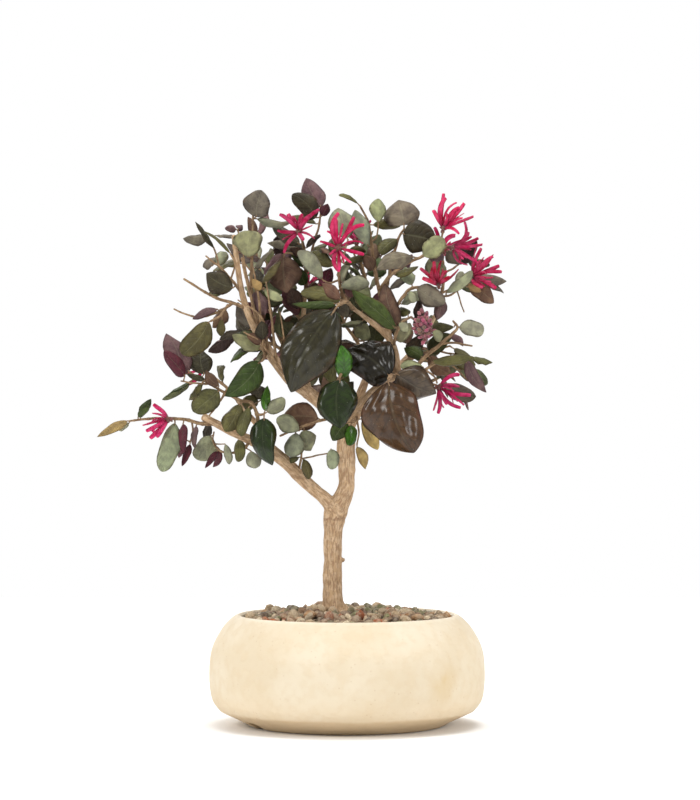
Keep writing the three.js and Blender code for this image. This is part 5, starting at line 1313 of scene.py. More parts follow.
        (373, 225, -6, 401, 228, -12, 12, 10, "olive"), (378, 222, 5, 380, 199, 8, 17, 5, "lime"),
        (373, 270, 4, 365, 256, 10, 13, 10, "brown"),
    ]),
    "top_right": ("leaf_green", [
        [(383, 304, 0, 2.0), (387, 286, -7, 1.8), (391, 265, -3, 1.6), (395, 249, 3, 1.5),
            (399, 237, 7, 1.3), (404, 229, 8, 1.1)],
    ], [
        (404, 225, 8, 398, 198, 2, 36, 5, "grey"), (397, 239, 12, 379, 253, 17, 15, 12, "olive"),
        (403, 234, 12, 436, 241, 14, 34, 5, "dark"),
    ]),
    "right_top": ("leaf_green", [
        [(380, 290, 0, 2.0), (390, 276, 12, 1.8), (406, 264, 19, 1.7), (421, 257, 24, 1.5),
            (436, 250, 25, 1.4), (447, 246, 25, 1.2)],
        [(436, 250, 25, 1.1), (441, 241, 27, 1.0), (443, 230.5, 25.3, 0.9)],
    ], [
        (423, 256, 29, 444, 240, 35, 22, 5, "lime"), (413, 257, 12, 379, 269, 24, 18, 8, "grey"),
        (431, 255, 18, 445, 262, 8, 13, 15, "mauve"), (447, 251, 18, 461, 266, 12, 14, 10, "grey"),
    ]),
    "right_middle": ("leaf_green", [
        [(387, 322, 4, 2.0), (399, 302, 13, 1.8), (410, 289, 17, 1.6), (424, 287, 20, 1.4),
            (436, 288, 22, 1.2)],
        [(424, 287, 20, 1.2), (444, 296, 14, 1.1), (457, 291, 14, 1.0), (471, 278.5, 17.5, 0.9)],
        [(457, 291, 14, 0.8), (461, 303, 12, 0.7), (464, 312, 10, 0.6)],
    ], [
        (417, 288, 24, 443, 302, 30, 22, 8, "grey"), (440, 297, 19, 437, 320, 24, 13, 8, "mauve"),
        (446, 293, 20, 472, 272, 28, 12, 25, "sage"), (456, 288, 10, 464, 271, 4, 14, 10, "sage"),
        (470, 286, 14, 493, 303, 18, 18, 8, "brown"), (468, 285, 24, 481, 292, 30, 9, 10, "dry"),
        (467, 287, 6, 507, 281, 0, 15, 12, "grey"), (412, 285, 12, 405, 267, 6, 15, 10, "sage"),
        (409, 291, 22, 414, 302, 27, 10, 10, "sage"),
    ]),
    "bud_stem": ("leaf_purple", [
        [(393, 348, 13, 1.8), (396, 334, 20, 1.6), (403, 322, 24, 1.4), (411, 317, 26, 1.2)],
    ], [
        (395, 328, 26, 352, 290, 33, 18, 10, "green"), (396, 326, 18, 386, 283, 12, 21, 5, "brown"),
        (399, 323, 28, 408, 331, 34, 10, 10, "sage"), (408, 315, 18, 401, 305, 12, 13, 10, "olive"),
    ]),
    "right_low": ("leaf_green", [
        [(414, 370, 21, 2.2), (424, 358, 20, 2.0), (441, 344, 21, 1.8), (457, 329, 22, 1.4),
            (453, 321, 20, 1.0)],
        [(441, 344, 21, 1.3), (456, 343, 18, 1.1), (472, 346, 16, 0.9)],
    ], [
        (454, 327, 18, 427, 329, 14, 11, 12, "olive"), (440, 342, 26, 435, 330, 32, 10, 5, "lime"),
        (459, 327, 23, 484, 332, 27, 17, 5, "sage"), (422, 357, 16, 404, 348, 8, 14, 10, "green"),
        (429, 357, 14, 452, 375, 6, 17, 15, "brown"), (451, 336, 16, 463, 346, 12, 8, 15, "mauve"),
    ]),
    "right_reach": ("leaf_purple", [
        [(402, 372.5, 20, 1.9), (413, 377, 27, 1.7), (425, 370, 29, 1.5), (440, 361, 27, 1.4),
            (455, 358, 27, 1.1), (464, 359, 27, 0.9)],
        [(425, 370, 29, 1.2), (434, 376, 24, 1.0), (437, 383, 20, 0.9)],
        [(447, 360, 27, 0.9), (459, 372, 24, 0.8), (472, 383, 22, 0.7)],
    ], [
        (432, 362, 32, 474, 357, 36, 14, 30, "olive"), (466, 361, 27, 484, 394, 24, 14, 20, "mauve"),
        (423, 367, 31, 402, 365, 37, 14, 10, "lime"),
    ]),
}
print(len(SPRAYS), "listed sprays")

# %% The sprays that follow the rule
# Each is given by its stem. Side twigs and leaves come from RULE, in steps and degrees.
RULED_SPRAYS = {
    "back_crown": [
        (372, 316, -67, 2.4), (368, 292, -70, 2.0), (362, 266, -70, 1.5), (356, 244, -66, 1.1),
    ],
    "back_left": [(268, 304, -69, 2.2), (262, 280, -74, 1.8), (257, 258, -76, 1.3), (256, 240, -74, 1.0)],
    "back_right": [
        (435, 318, -57, 2.2), (441, 296, -62, 1.8), (444, 274, -62, 1.4), (442, 254, -58, 1.0),
    ],
    "back_low_left": [
        (240, 403, -45, 2.2), (228, 389, -54, 1.7), (215, 378, -60, 1.3), (203, 370, -62, 1.0),
    ],
    "back_middle": [
        (319, 357, -66, 2.2), (314, 334, -73, 1.8), (310, 310, -76, 1.4), (308, 288, -74, 1.0),
    ],
    "back_low_right": [
        (410, 390, -59, 2.2), (426, 384, -67, 1.8), (442, 376, -70, 1.4), (456, 368, -70, 1.0),
    ],
    "inner_left": [
        (289, 354, -42, 2.0), (276, 346, -34, 1.7), (262, 340, -30, 1.3), (250, 330, -30, 1.0),
    ],
    "inner_right": [
        (402, 363, -33, 2.0), (418, 356, -26, 1.7), (434, 350, -22, 1.3), (450, 346, -22, 1.0),
    ],
    "inner_top": [(370, 365, -52, 2.0), (358, 344, -50, 1.8), (344, 322, -44, 1.4), (338, 302, -42, 1.0)],
    "inner_crown": [
        (303, 322, -26, 2.0), (290, 306, -40, 1.7), (284, 284, -48, 1.3), (282, 262, -50, 1.0),
    ],
}
RULE = {
    "seed": 7,
    "twigs": 2,  # side twigs on each stem
    "twigLength": [22, 34],  # steps
    "leafLength": [25, 37],
    "leafWidth": 0.62,  # of its length
    "leafSpacing": 27,  # steps along a twig
    "goldenAngle": GOLDEN_ANGLE,  # from one leaf to the next, round the twig
    "finishes": ["olive", "green", "dark", "mauve", "sage", "olive", "brown", "grey"],
}
print(len(RULED_SPRAYS), "ruled sprays")

# %% [markdown]
# ### Keeping the leaves clear of one another
#
# Leaves that are placed one by one on a drawing would run through their neighbours in depth. So each leaf is
# offered a few places, a little nearer or farther than listed, and takes the first that is clear of every
# stem, petal and leaf placed before it. The CAD source settles its leaves by the same rule in the same
# order, with the same seeded draws, so both give the same crown.

# %% A blade as numbers, and its bowed and cupped middle surface
SPOON_SHAPED = {"sage", "olive", "lime"}  # finishes whose blades are widest past the middle
BOW = 0.07  # of its length
CUP = 0.22  # of its half width
TOWARDS_EYE = np.array([0.0, -1.0, 0.0])


def breadth(s, widest, power=1.15):
    """How wide a blade is at a share s of its length: s^w (1-s)^(1-w) over its own peak, to a power."""
    inside = np.clip(s, 0, 1)
    curve = (inside / widest) ** widest * ((1 - inside) / (1 - widest)) ** (1 - widest)
    return np.where((s <= 0) | (s >= 1), 0.0, curve**power)


def turned_about(way, axis, degrees):
    """way turned about an axis of length one."""
    angle = math.radians(degrees)
    kept = axis * (axis @ way) * (1 - math.cos(angle))
    return way * math.cos(angle) + np.cross(axis, way) * math.sin(angle) + kept


def make_blade(base, tip, width, roll, facing, widest):
    """A blade's own frame: its base, the directions along, across and normal, and its sizes in mm."""
    along = tip - base
    length = np.linalg.norm(along)
    along = along / length
    level = unit(facing - along * (facing @ along))
    normal = turned_about(level, along, roll)
    across = np.cross(normal, along)
    ways = {"along": along, "across": across, "normal": normal}
    return {"base": base, **ways, "length": length, "width": width, "widest": widest}


def stand_off(blade, s, t):
    """How far the middle surface stands off the chord plane: a bow along the blade less a cup across it."""
    half = 0.5 * blade["width"] * breadth(s, blade["widest"])
    return BOW * blade["length"] * 4 * s * (1 - s) - CUP * half * t * t


def blade_points(blade, s, t):
    """Points of the middle surface at shares s along and t across."""
    half = 0.5 * blade["width"] * breadth(s, blade["widest"])
    return (
        blade["base"] + (s * blade["length"])[..., None] * blade["along"]
        + (t * half)[..., None] * blade["across"] + stand_off(blade, s, t)[..., None] * blade["normal"]
    )


def touches(blade, points, gap):
    """True for points that lie in the blade's outline and within gap of its middle surface."""
    from_base = points - blade["base"]
    s = from_base @ blade["along"] / blade["length"]
    half = 0.5 * blade["width"] * breadth(s, blade["widest"])
    y = from_base @ blade["across"]
    t = np.where(half > 0.3, np.clip(y / np.maximum(half, 1e-9), -1, 1), 0.0)
    off = np.abs(from_base @ blade["normal"] - stand_off(blade, s, t))
    return (s >= -0.03) & (s <= 1.03) & (np.abs(y) <= half + 0.5 * gap) & (off < gap)


print("blade helpers ready")

# %% Rods and settled leaves
LEAF_GAP = 1.5  # mm between the middles of two blades
SAMPLE_SPACING = 3.0  # mm between the points of a blade that are tested
ROD_SPACING = 2.0
LEAST_COSINE = 0.3  # between a leaf's stalk and its blade
LONGEST_STALK = 12.0
ATTACHED = 5.0  # mm round a leaf's foot where its own stem may touch it

rods = {"points": [], "radius": [], "owner": []}
settled = []


def add_rods(points, radius, owner):
    """Notes samples along a stem or petal that leaves must keep clear of."""
    points, radius = np.asarray(points, dtype=float), np.asarray(radius, dtype=float)
    for a, b, radius_a, radius_b in zip(points, points[1:], radius, radius[1:]):
        steps = math.ceil(np.linalg.norm(b - a) / ROD_SPACING)
        share = np.arange(steps + 1) / steps
        rods["points"].append(a + share[:, None] * (b - a))
        rods["radius"].append(radius_a + share * (radius_b - radius_a))
        rods["owner"].append(np.full(steps + 1, owner, dtype=object))


def blade_samples(blade):
    """A grid of points over a blade, about SAMPLE_SPACING apart."""
    rows = math.ceil(blade["length"] / SAMPLE_SPACING)
    columns = math.ceil(0.5 * blade["width"] / SAMPLE_SPACING)
    s, t = np.meshgrid(np.arange(rows + 1) / rows, np.arange(-columns, columns + 1) / columns, indexing="ij")
    return blade_points(blade, s.ravel(), t.ravel())


def foot_of(blade, stems):
    """Where a leaf's stalk meets its stems: the nearest of their points that lies behind the leaf's base."""
    share = np.arange(7)[:, None] / 6
    points = np.vstack([a + share * (b - a) for line in stems for a, b in zip(line, line[1:])])
    stalk = blade["base"] - points
    distance = np.linalg.norm(stalk, axis=1)
    allowed = (distance >= 0.8) & (stalk @ blade["along"] >= LEAST_COSINE * distance)
    distance = np.where(allowed, distance, np.inf)
    best = distance.argmin()
    return points[best] if distance[best] < LONGEST_STALK else None


def is_clear(blade, samples, foot, owner, all_rods):
    """Whether a blade keeps clear of every leaf, stem and petal so far."""
    reach = blade["length"] + 4
    if settled:
        bases = np.array([other["base"] for other, _ in settled])
        lengths = np.array([other["length"] for other, _ in settled])
        close = np.nonzero(np.linalg.norm(bases - blade["base"], axis=1) <= lengths + reach)[0]
        near_samples = [settled[k][1] for k in close]
        if near_samples and touches(blade, np.vstack(near_samples), LEAF_GAP).any():
            return False
        if any(touches(settled[k][0], samples, LEAF_GAP).any() for k in close):
            return False
    points, radius, owners = all_rods
    near = np.linalg.norm(points - blade["base"], axis=1) <= reach
    own = owners == owner
    near &= ~(own & (np.linalg.norm(points - foot, axis=1) < ATTACHED + radius))
    points, radius, own = points[near], radius[near], own[near]
    if touches(blade, points, radius + 0.9).any():
        return False
    stalk = blade["base"] - foot
    share = np.clip((points - foot) @ stalk / (stalk @ stalk), 0, 1)
    distance = np.linalg.norm(points - foot - share[:, None] * stalk, axis=1)
    return not (~own & (distance < radius + 1)).any()


def settle(candidates, stems, owner, all_rods):
    """The first candidate that is clear of everything, with its foot, or None."""
    for blade in candidates:
        foot = foot_of(blade, stems)
        if foot is None:
            continue
        stalk_samples = blade["base"] + (np.arange(4) / 5)[:, None] * (foot - blade["base"])
        samples = np.vstack([blade_samples(blade), stalk_samples])
        if is_clear(blade, samples, foot, owner, all_rods):
            settled.append((blade, samples))
            return {**blade, "foot": foot}
    return None


print("settling rule ready")

# %% Candidates for a listed leaf and for a ruled leaf
SPOON_WIDEST, OVAL_WIDEST, RULED_WIDEST = 0.62, 0.46, 0.48  # share of the length where a blade is widest
NUDGES = (0, 5, -5, 9, -9, 14, -14, 19, -19, 25, -25, 32, -32)  # steps in depth
LEAN = 1.7  # how much deeper a leaf leans than its listed ends
LEAN_SPREAD = 7
CROWN_MIDDLE = seen((345, 335, -15))


def listed_places(leaf, draw):
    """Candidates for a listed leaf: its tip nudged in depth, then all of it a little smaller."""
    c0, r0, f0, c1, r1, f1, width, roll, finish = leaf
    widest = SPOON_WIDEST if finish in SPOON_SHAPED else OVAL_WIDEST
    lean = LEAN * (f1 - f0) + draw(-LEAN_SPREAD, LEAN_SPREAD)
    for size in (1, 0.85):
        for nudge in NUDGES:
            base = seen((c0, r0, f0 + 0.3 * nudge))
            tip = base + size * (seen((c1, r1, f0 + lean + nudge)) - base)
            yield make_blade(base, tip, width * STEP * size, roll, TOWARDS_EYE, widest)


def point_on(line, share):
    """The point at a share of a line's length, the line's direction there, and the whole length."""
    spans = np.diff(line, axis=0)
    lengths = np.linalg.norm(spans, axis=1)
    rest, i = share * lengths.sum(), 0
    while i + 1 < len(spans) and rest > lengths[i]:
        rest -= lengths[i]
        i += 1
    along = spans[i] / lengths[i]
    return line[i] + along * rest, along, lengths.sum()


def ruled_places(place, turn, draw, lengths=None, stand=3.2):
    """Candidates for a ruled leaf: it leaves its twig at an angle, leans outwards and faces the light."""
    point, along, _ = place
    length = draw(*(lengths or RULE["leafLength"])) * STEP
    roll = draw(-35, 35)
    lean = draw(0.6, 1.1)
    outwards = unit(point - CROWN_MIDDLE)
    side = unit(np.cross([0.0, 0, 1], along))
    facing = outwards + (0, 0, 0.9)
    for attempt in range(9):
        way = unit(turned_about(side, along, turn + 41 * attempt) * lean + along * 0.55 + outwards * 0.45)
        base = point + way * stand
        yield make_blade(base, base + way * length, length * RULE["leafWidth"], roll, facing, RULED_WIDEST)


def ruled_stems(stem, draw):
    """A ruled spray's lines: its own stem, and side twigs that lean outwards from it."""
    main, radius = placed_stem(stem)
    lines = [(main, radius)]
    for k in range(RULE["twigs"]):
        point = point_on(main, 0.25 + 0.6 * (k + 0.5) / RULE["twigs"])[0]
        spread = np.array([draw(-0.9, 0.9), draw(-0.6, 0.6), draw(-0.2, 0.9)])
        end = point + unit(unit(point - CROWN_MIDDLE) + spread) * draw(*RULE["twigLength"]) * STEP
        middle = (point + end) / 2
        middle[2] -= 0.05 * np.linalg.norm(end - point)
        lines.append((np.stack([point, middle, end]), np.array([0.75, 0.62, 0.5])))
    return lines


print("leaf rules ready")

# %% [markdown]
# ## Where the flower heads stand
#
# Each flower head is a small cluster of flowers whose strap petals all start at one heart. The petals come
# before the leaves, because the leaves keep clear of them.

# %% The flower heads on the elevation
# A flower head is the place of its heart and the places of its petals' tips.
BLOOMS = {
    "bloom_top_left": ((299, 232, 15), [
        (283, 212, 22), (288, 214, 12), (320, 211, 22), (314, 218, 30), (313, 237, 26), (281, 250, 24),
        (278, 231, 8), (305, 240, 30), (300, 216, 4),
    ]),
    "bloom_top_middle": ((338, 248, 27), [
        (331, 215, 24), (336, 219, 36), (351, 216, 30), (361, 222, 34), (365, 255, 34), (352, 262, 42),
        (342, 273, 38), (334, 270, 30), (321, 240, 36),
    ]),
    "bloom_right_upper": ((443, 229, 25), [
        (443, 198, 28), (449, 194, 20), (456, 206, 34), (465, 204, 26), (474, 217, 22), (463, 216, 38),
        (448, 213, 40), (458, 232, 40), (436, 212, 14),
    ]),
    "bloom_right_lower": ((452, 247, 25), [
        (478, 238, 30), (479, 246, 40), (469, 226, 22), (471, 235, 14), (475, 262, 38), (462, 268, 34),
        (466, 258, 14),
    ]),
    "bloom_right_end": ((472, 277, 18), [
        (478, 244, 20), (484, 251, 10), (490, 256, 26), (495, 257, 16), (499, 266, 24), (502, 275, 28),
        (491, 283, 36), (496, 288, 20), (480, 288, 34), (486, 268, 38),
    ]),
    "bloom_red": ((438, 285, 25), [
        (420, 269, 28), (424, 279, 36), (434, 262, 30), (442, 261, 22), (446, 270, 36), (457, 268, 28),
        (430, 268, 16), (451, 276, 38),
    ]),
    "bloom_low_right": ((438, 387, 18), [
        (458, 372, 26), (459, 385, 22), (471, 393, 18), (465, 401, 26), (453, 403, 14), (446, 404, 32),
        (441, 413, 22), (430, 410, 14), (458, 410, 22),
    ]),
    "bloom_far_left": ((169, 419, 27), [
        (151, 408, 31), (154, 412, 38), (143, 426, 29), (147, 433, 36), (150, 438, 28), (156, 439, 40),
        (160, 434, 22),
    ]),
}
# Flower heads behind: the heart, the way it opens, how many petals it has and their length in steps.
RULED_BLOOMS = {
    "bloom_back_crown": ((356, 242, -66), (-4, -20, -22), 8, 27),
    "bloom_back_right": ((442, 252, -57.5), (16, -20, -16), 8, 26),
    "bloom_back_left": ((201, 369, -63), (-24, -8, -10), 7, 26),
    "bloom_back_middle": ((308, 286, -74), (-6, -16, -24), 7, 26),
}
BUDS = {
    "foot": [411, 317, 26],
    "middle": [424, 327, 33],
    "reach": [13, 14, 9],
    "count": 16,
    "radius": 2.6,
    "seed": 31,
}
HEART_RADIUS = 2.4  # mm
PETAL_START = 1.8
BLOOM_SEED, LEAF_SEED = 23, 41
print(len(BLOOMS) + len(RULED_BLOOMS), "flower heads")


# %% Note every stem and petal, then settle every leaf
def petal_line(heart, tip):
    """Start, middle and end of a petal that arches up a little on its way from the heart to the tip."""
    chord = tip - heart
    reach = np.linalg.norm(chord)
    share = np.array([PETAL_START / reach, 0.5, 1.0])
    return heart + share[:, None] * chord + (4 * share * (1 - share))[:, None] * [0, 0, 0.09 * reach]


def ruled_tips(bloom, draw):
    """Petal tips of a ruled bloom: a golden-angle fan round its aim."""
    heart, aim, count, length = bloom
    middle = seen(heart)
    axis = unit([aim[0], -aim[2], -aim[1]])
    side = unit(np.cross([1.0, 0, 0], axis))
    tips = []
    for k in range(count):
        spread = math.radians(18 + 72 * (k + 0.5) / count)
        spoke = turned_about(side, axis, k * RULE["goldenAngle"])
        way = axis * math.cos(spread) + spoke * math.sin(spread)
        tips.append(middle + way * length * STEP * draw(0.8, 1.1))
    return tips


def bud_places():
    """Middles of the buds, on a golden-angle spiral over an oval."""
    draw = draws(BUDS["seed"])
    places = []
    for k in range(BUDS["count"]):
        height = 1 - 2 * (k + 0.5) / BUDS["count"]
        turn = math.radians(k * RULE["goldenAngle"])
        ring = math.sqrt(1 - height * height) * draw(0.7, 1)
        raised = BUDS["reach"][1] * height * draw(0.85, 1.1)
        sideways, forward = (BUDS["reach"][k] * ring for k in (0, 2))
        offset = (sideways * math.cos(turn), -raised, forward * math.sin(turn))
        places.append(seen(np.add(BUDS["middle"], offset)))
    return places


for stations in WOOD.values():
    add_rods(*placed_stem(stations), "wood")

spray_stems = {}
for name, (_, stems, _) in SPRAYS.items():
    spray_stems[name] = [placed_stem(stem) for stem in stems]
rule_draw = draws(RULE["seed"])
for name, stem in RULED_SPRAYS.items():
    spray_stems[f"ruled_{name}"] = ruled_stems(stem, rule_draw)
for name, lines in spray_stems.items():
    for line, radius in lines:
        add_rods(line, radius, name)

petal_lines = {}
hearts = {name: seen(heart) for name, (heart, *_) in {**BLOOMS, **RULED_BLOOMS}.items()}
for name, (_, tips) in BLOOMS.items():
    petal_lines[name] = [petal_line(hearts[name], seen(tip)) for tip in tips]
bloom_draw = draws(BLOOM_SEED)
for name, bloom in RULED_BLOOMS.items():
    petal_lines[name] = [petal_line(hearts[name], tip) for tip in ruled_tips(bloom, bloom_draw)]


def add_single_rod(point, radius, owner):
    """Notes one ball that leaves must keep clear of."""
    rods["points"].append(point[None])
    rods["radius"].append(np.array([radius]))
    rods["owner"].append(np.array([owner], dtype=object))


for name, lines in petal_lines.items():
    for line in lines:
        add_rods(line, [1.0, 1.0, 1.0], name)
    add_single_rod(hearts[name], HEART_RADIUS, name)
for place in bud_places():
    add_single_rod(place, BUDS["radius"], "buds")
all_rods = tuple(np.concatenate(rods[part]) for part in ("points", "radius", "owner"))

spray_leaves = {}
leaf_draw = draws(LEAF_SEED)
for name, (_, _, leaves) in SPRAYS.items():
    stems = [line for line, _ in spray_stems[name]]
    placed = [(settle(listed_places(leaf, leaf_draw), stems, name, all_rods), leaf[-1]) for leaf in leaves]
    spray_leaves[name] = [{**blade, "finish": finish} for blade, finish in placed if blade]
for name in RULED_SPRAYS:
    key = f"ruled_{name}"
    spray_leaves[key] = []
    for line, _ in spray_stems[key]:
        count = max(2, math.floor(point_on(line, 1)[2] / STEP / RULE["leafSpacing"] + 0.5))
        for k in range(1, count + 1):
            blades = ruled_places(point_on(line, k / count), k * RULE["goldenAngle"], rule_draw)
            blade = settle(blades, [line], key, all_rods)
            if blade:
                finish = RULE["finishes"][len(settled) % len(RULE["finishes"])]
                spray_leaves[key].append({**blade, "finish": finish})
print(len(settled), "leaves settled")

# %% [markdown]
# ### Filling the crown
#
# Behind the leaves that the photograph shows one by one lies a dense crown of leaves that it shows only in
# part. They are placed here along all thin stems by the ruled leaf's own rule, inside an oval of the
# elevation and behind the front leaves, and each still keeps clear of its neighbours. The CAD model
# holds the crown's reach already, so it needs none of them.

# %% Fill the crown
FILL = {
    "middle": (338, 326), "reach": (108, 100),  # the oval, in columns and rows
    "nearest": -9.0,  # mm in front of the pot's axis
    "spacing": 8.0,  # steps along a stem
    "turn": 61,  # degrees from one leaf to the next, round the stem
    "length": (19, 33), "thickest": 3.6,  # steps
    "seed": 77,
    "stand": 2.6,  # mm from a stem's skin to a leaf's base
    "finishes": (
        "olive", "sage", "green", "dark", "brown", "grey", "mauve", "olive", "sage", "lime", "wine", "brown",
    ),
}


def on_elevation(point):
    """The column and row where the eye sees a point."""
    scale = EYE_DISTANCE / (EYE_DISTANCE + point[1])
    column = EYE_COLUMN + (point[0] - (EYE_COLUMN - AXIS_COLUMN) * STEP) * scale / STEP
    return column, TABLE_ROW - (EYE_HEIGHT + (point[2] - EYE_HEIGHT) * scale) / STEP


def inside_crown(blade):
    """Whether a blade's base and tip lie in the oval and behind the front leaves."""
    ends = (blade["base"], blade["base"] + blade["along"] * blade["length"])
    places = [np.subtract(on_elevation(end), FILL["middle"]) / FILL["reach"] for end in ends]
    return all(np.hypot(*place) < 1 for place in places) and min(end[1] for end in ends) > FILL["nearest"]


fill_draw = draws(FILL["seed"])
fill_leaves = {}
stem_sets = dict(spray_stems)
for name, (line, radius) in wood_curves.items():
    thin = radius < FILL["thickest"] * STEP
    if thin.sum() > 8:
        stem_sets[f"wood_{name}"] = [(line[thin][::3], radius[thin][::3])]
before = len(settled)
for name, lines in stem_sets.items():
    owner = "wood" if name.startswith("wood_") else name
    fill_leaves[name] = []
    for line, radius in lines:
        count = max(1, round(point_on(line, 1)[2] / STEP / FILL["spacing"]))
        for k in range(1, count + 1):
            place = point_on(line, (k - 0.5) / count)
            stand = FILL["stand"] + float(radius.mean())
            candidates = ruled_places(place, FILL["turn"] * k, fill_draw, FILL["length"], stand)
            blade = settle(filter(inside_crown, candidates), [line], owner, all_rods)
            if blade:
                finish = FILL["finishes"][len(settled) % len(FILL["finishes"])]
                fill_leaves[name].append({**blade, "finish": finish})
print(len(settled) - before, "leaves fill the crown")

# %% [markdown]
# ## The leaf itself
#
# A fringe-flower leaf is oval with a short point, a little wavy at its margin and folded along its midrib.
# All leaves of one size class share one grid: rows run from base to tip, and each row is a ring that goes
# across the upper face and back along the lower one, so the blade is closed and as thin as a real leaf.
# The grids of a whole spray are computed in one go, and small leaves get few faces.

# %% Colours of the leaves
# Each finish gives the colour turned to the eye, the colour of the other face, how much it varies, and
# whether the eye sees the leaf's felted underside.
LEAF_COLOURS = {
    "gloss_dark": ((46, 42, 20), (124, 100, 88), 0.06, 0),
    "gloss_brown": ((74, 50, 28), (132, 104, 92), 0.06, 0),
    "gloss_mauve": ((84, 68, 54), (134, 110, 100), 0.08, 0),
    "gloss_black": ((30, 24, 8), (104, 84, 76), 0.06, 0),
    "gloss_green": ((36, 52, 12), (110, 116, 84), 0.08, 0),
    "bright": ((66, 112, 26), (120, 140, 80), 0.1, 0),
    "green": ((66, 80, 34), (122, 128, 92), 0.14, 0),
    "olive": ((94, 90, 52), (128, 128, 98), 0.14, 0),
    "sage": ((156, 158, 128), (72, 74, 44), 0.12, 1),
    "lime": ((156, 160, 118), (88, 92, 50), 0.12, 1),
    "dark": ((66, 60, 42), (112, 104, 92), 0.14, 0),
    "grey": ((112, 104, 88), (76, 68, 54), 0.14, 1),
    "mauve": ((114, 88, 88), (74, 56, 54), 0.14, 1),
    "wine": ((94, 38, 50), (126, 84, 84), 0.14, 0),
    "brown": ((112, 86, 68), (90, 66, 54), 0.14, 1),
    "dry": ((178, 150, 96), (150, 122, 80), 0.12, 1),
}
LEAF_CLASSES = [  # from this length in mm: rows, and points from one margin to the other
    (33.0, 48, 25),
    (17.0, 13, 7),
    (0.0, 9, 5),
]
LEAF_THICKNESS = 0.34  # mm
LEAF_VARIETY = {  # the least and the most of each leaf's own form
    "wave": (0.05, 0.11),  # of the margin, in half widths
    "cup": (0.05, 0.45),
    "fold": (-0.1, 0.42),  # along the midrib
    "curl": (-0.04, 0.2),  # of the tip, in lengths
    "sway": (-0.09, 0.09),  # to one side
    "twist": (-0.75, 0.75),  # radians from base to tip
    "point": (1.05, 1.6),  # how sharply the ends narrow
}


def blade_map(s, t, rows, ring):
    """UV places of a closed blade, u across and v along it: those of its rings, then of its two poles."""
    u = np.broadcast_to((t + 1) / 2, (1, rows, ring)).reshape(-1)
    v = np.broadcast_to(s, (1, rows, ring)).reshape(-1)
    return np.vstack([np.stack([u, v], -1), [[0.5, 0.0], [0.5, 1.0]]])


def leaf_surfaces(blades, rows, columns, seed):
    """Closed surfaces of several blades at once: points, triangles, which of them lie below, and UV places.

    A row at share s is a ring: t goes from -1 to 1 on the upper face and back on the lower one. Its half
    width is half the blade's, times breadth(s) and a small wave. Its height is the bow less the cup and a
    fold along the midrib, plus a wavy margin and pillows between the side veins, and the tip curls down by
    the cube of s. Then the row is turned about the midrib by a twist that grows along the blade.
    """
    count = len(blades)
    source = np.random.default_rng(seed)
    base, along, across, normal, length, width, widest = (
        np.array([blade[key] for blade in blades])[:, None, None]
        for key in ("base", "along", "across", "normal", "length", "width", "widest")
    )
    s = (1 - np.cos(np.pi * (np.arange(rows) + 0.55) / (rows + 0.1))) / 2
    t = np.concatenate([np.linspace(-1, 1, columns), np.linspace(1, -1, columns)[1:-1]])
    below = np.concatenate([np.zeros(columns), np.ones(columns - 2)])
    phase = source.uniform(0, 2 * np.pi, (3, count, 1, 1))
    wave, cup, fold, curl, sway, twist, point = (
        source.uniform(low, high, (count, 1, 1)) for low, high in LEAF_VARIETY.values()
    )
    s, t = s[None, :, None], t[None, None, :]
    half = 0.5 * width * breadth(s, np.minimum(widest, 0.58) - 0.04, point)
    half = half * (1 + wave * np.sin(8 * s + np.sign(t) * phase[0]))
    lift = BOW * length * 4 * s * (1 - s) - cup * half * t * t - fold * half * np.abs(t)
    margin = np.sin(2 * np.pi * 2.3 * s + phase[1] + np.sign(t) * phase[2])
    lift = lift + wave * half * np.abs(t) ** 3 * margin
    lift = lift - 0.08 * half * np.exp(-((t / 0.16) ** 2)) * (0.5 + s)
    between_veins = VEIN_PAIRS * s - VEIN_SLANT * np.abs(t) ** VEIN_CURVE
    pillows = np.abs(np.sin(np.pi * between_veins)) * np.abs(t) * (1 - t * t)
    lumps = np.sin(2 * np.pi * (1.9 * s + 0.8 * t) + phase[0])
    lumps = lumps * np.sin(2 * np.pi * (0.9 * s - 1.2 * t) + phase[1])
    lift = lift + half * (0.07 * pillows + 0.07 * lumps) - curl * length * s**3
    slab = LEAF_THICKNESS / 2 * (1 - 0.75 * np.abs(t) ** 6)
    lift = lift + np.where(below > 0, -slab, slab)
    angle = twist * (s - 0.3)
    sideways = t * half * np.cos(angle) - lift * np.sin(angle) + sway * length * 4 * s * (1 - s)
    upwards = t * half * np.sin(angle) + lift * np.cos(angle)
    points = (
        base + s[..., None] * length[..., None] * along + sideways[..., None] * across
        + upwards[..., None] * normal
    )
    heel, sink = base[:, 0, 0], (curl * length)[:, :, 0]
    tips = heel + length[:, 0] * along[:, 0, 0] - sink * normal[:, 0, 0]
    ring = points.shape[2]
    points = np.concatenate([points.reshape(count, -1, 3), np.stack([heel, tips], 1)], axis=1)
    # Both faces of the blade are split along the same diagonal, so that neither pokes through the other.
    a, b, c, d = grid_faces(rows, ring, closed_rows=True)[:, ::-1].T
    ring_below = np.repeat([False, True], columns - 1)
    lower = np.tile(ring_below, rows - 1)
    first_half = np.stack([a, b, np.where(lower, d, c)], -1)
    second_half = np.stack([np.where(lower, b, a), c, d], -1)
    fans = end_fans(ring, (rows - 1) * ring, rows * ring)[:, [1, 0, 2]]
    faces = repeated(np.vstack([first_half, second_half, fans]), count, points.shape[1])
    face_below = np.concatenate([lower, lower, ring_below, ring_below]).astype(float)
    return points.reshape(-1, 3), faces, face_below, blade_map(s, t, rows, ring)


print(len(LEAF_COLOURS), "leaf colours")

# %% Leaf stalks and twigs
TWIG_SIDES = 7
THINNEST_TWIG = 0.42  # mm
NODE_SPACING = 8.5  # mm
GLOSSY = ("gloss_dark", "gloss_brown", "gloss_mauve", "gloss_black", "gloss_green", "bright")


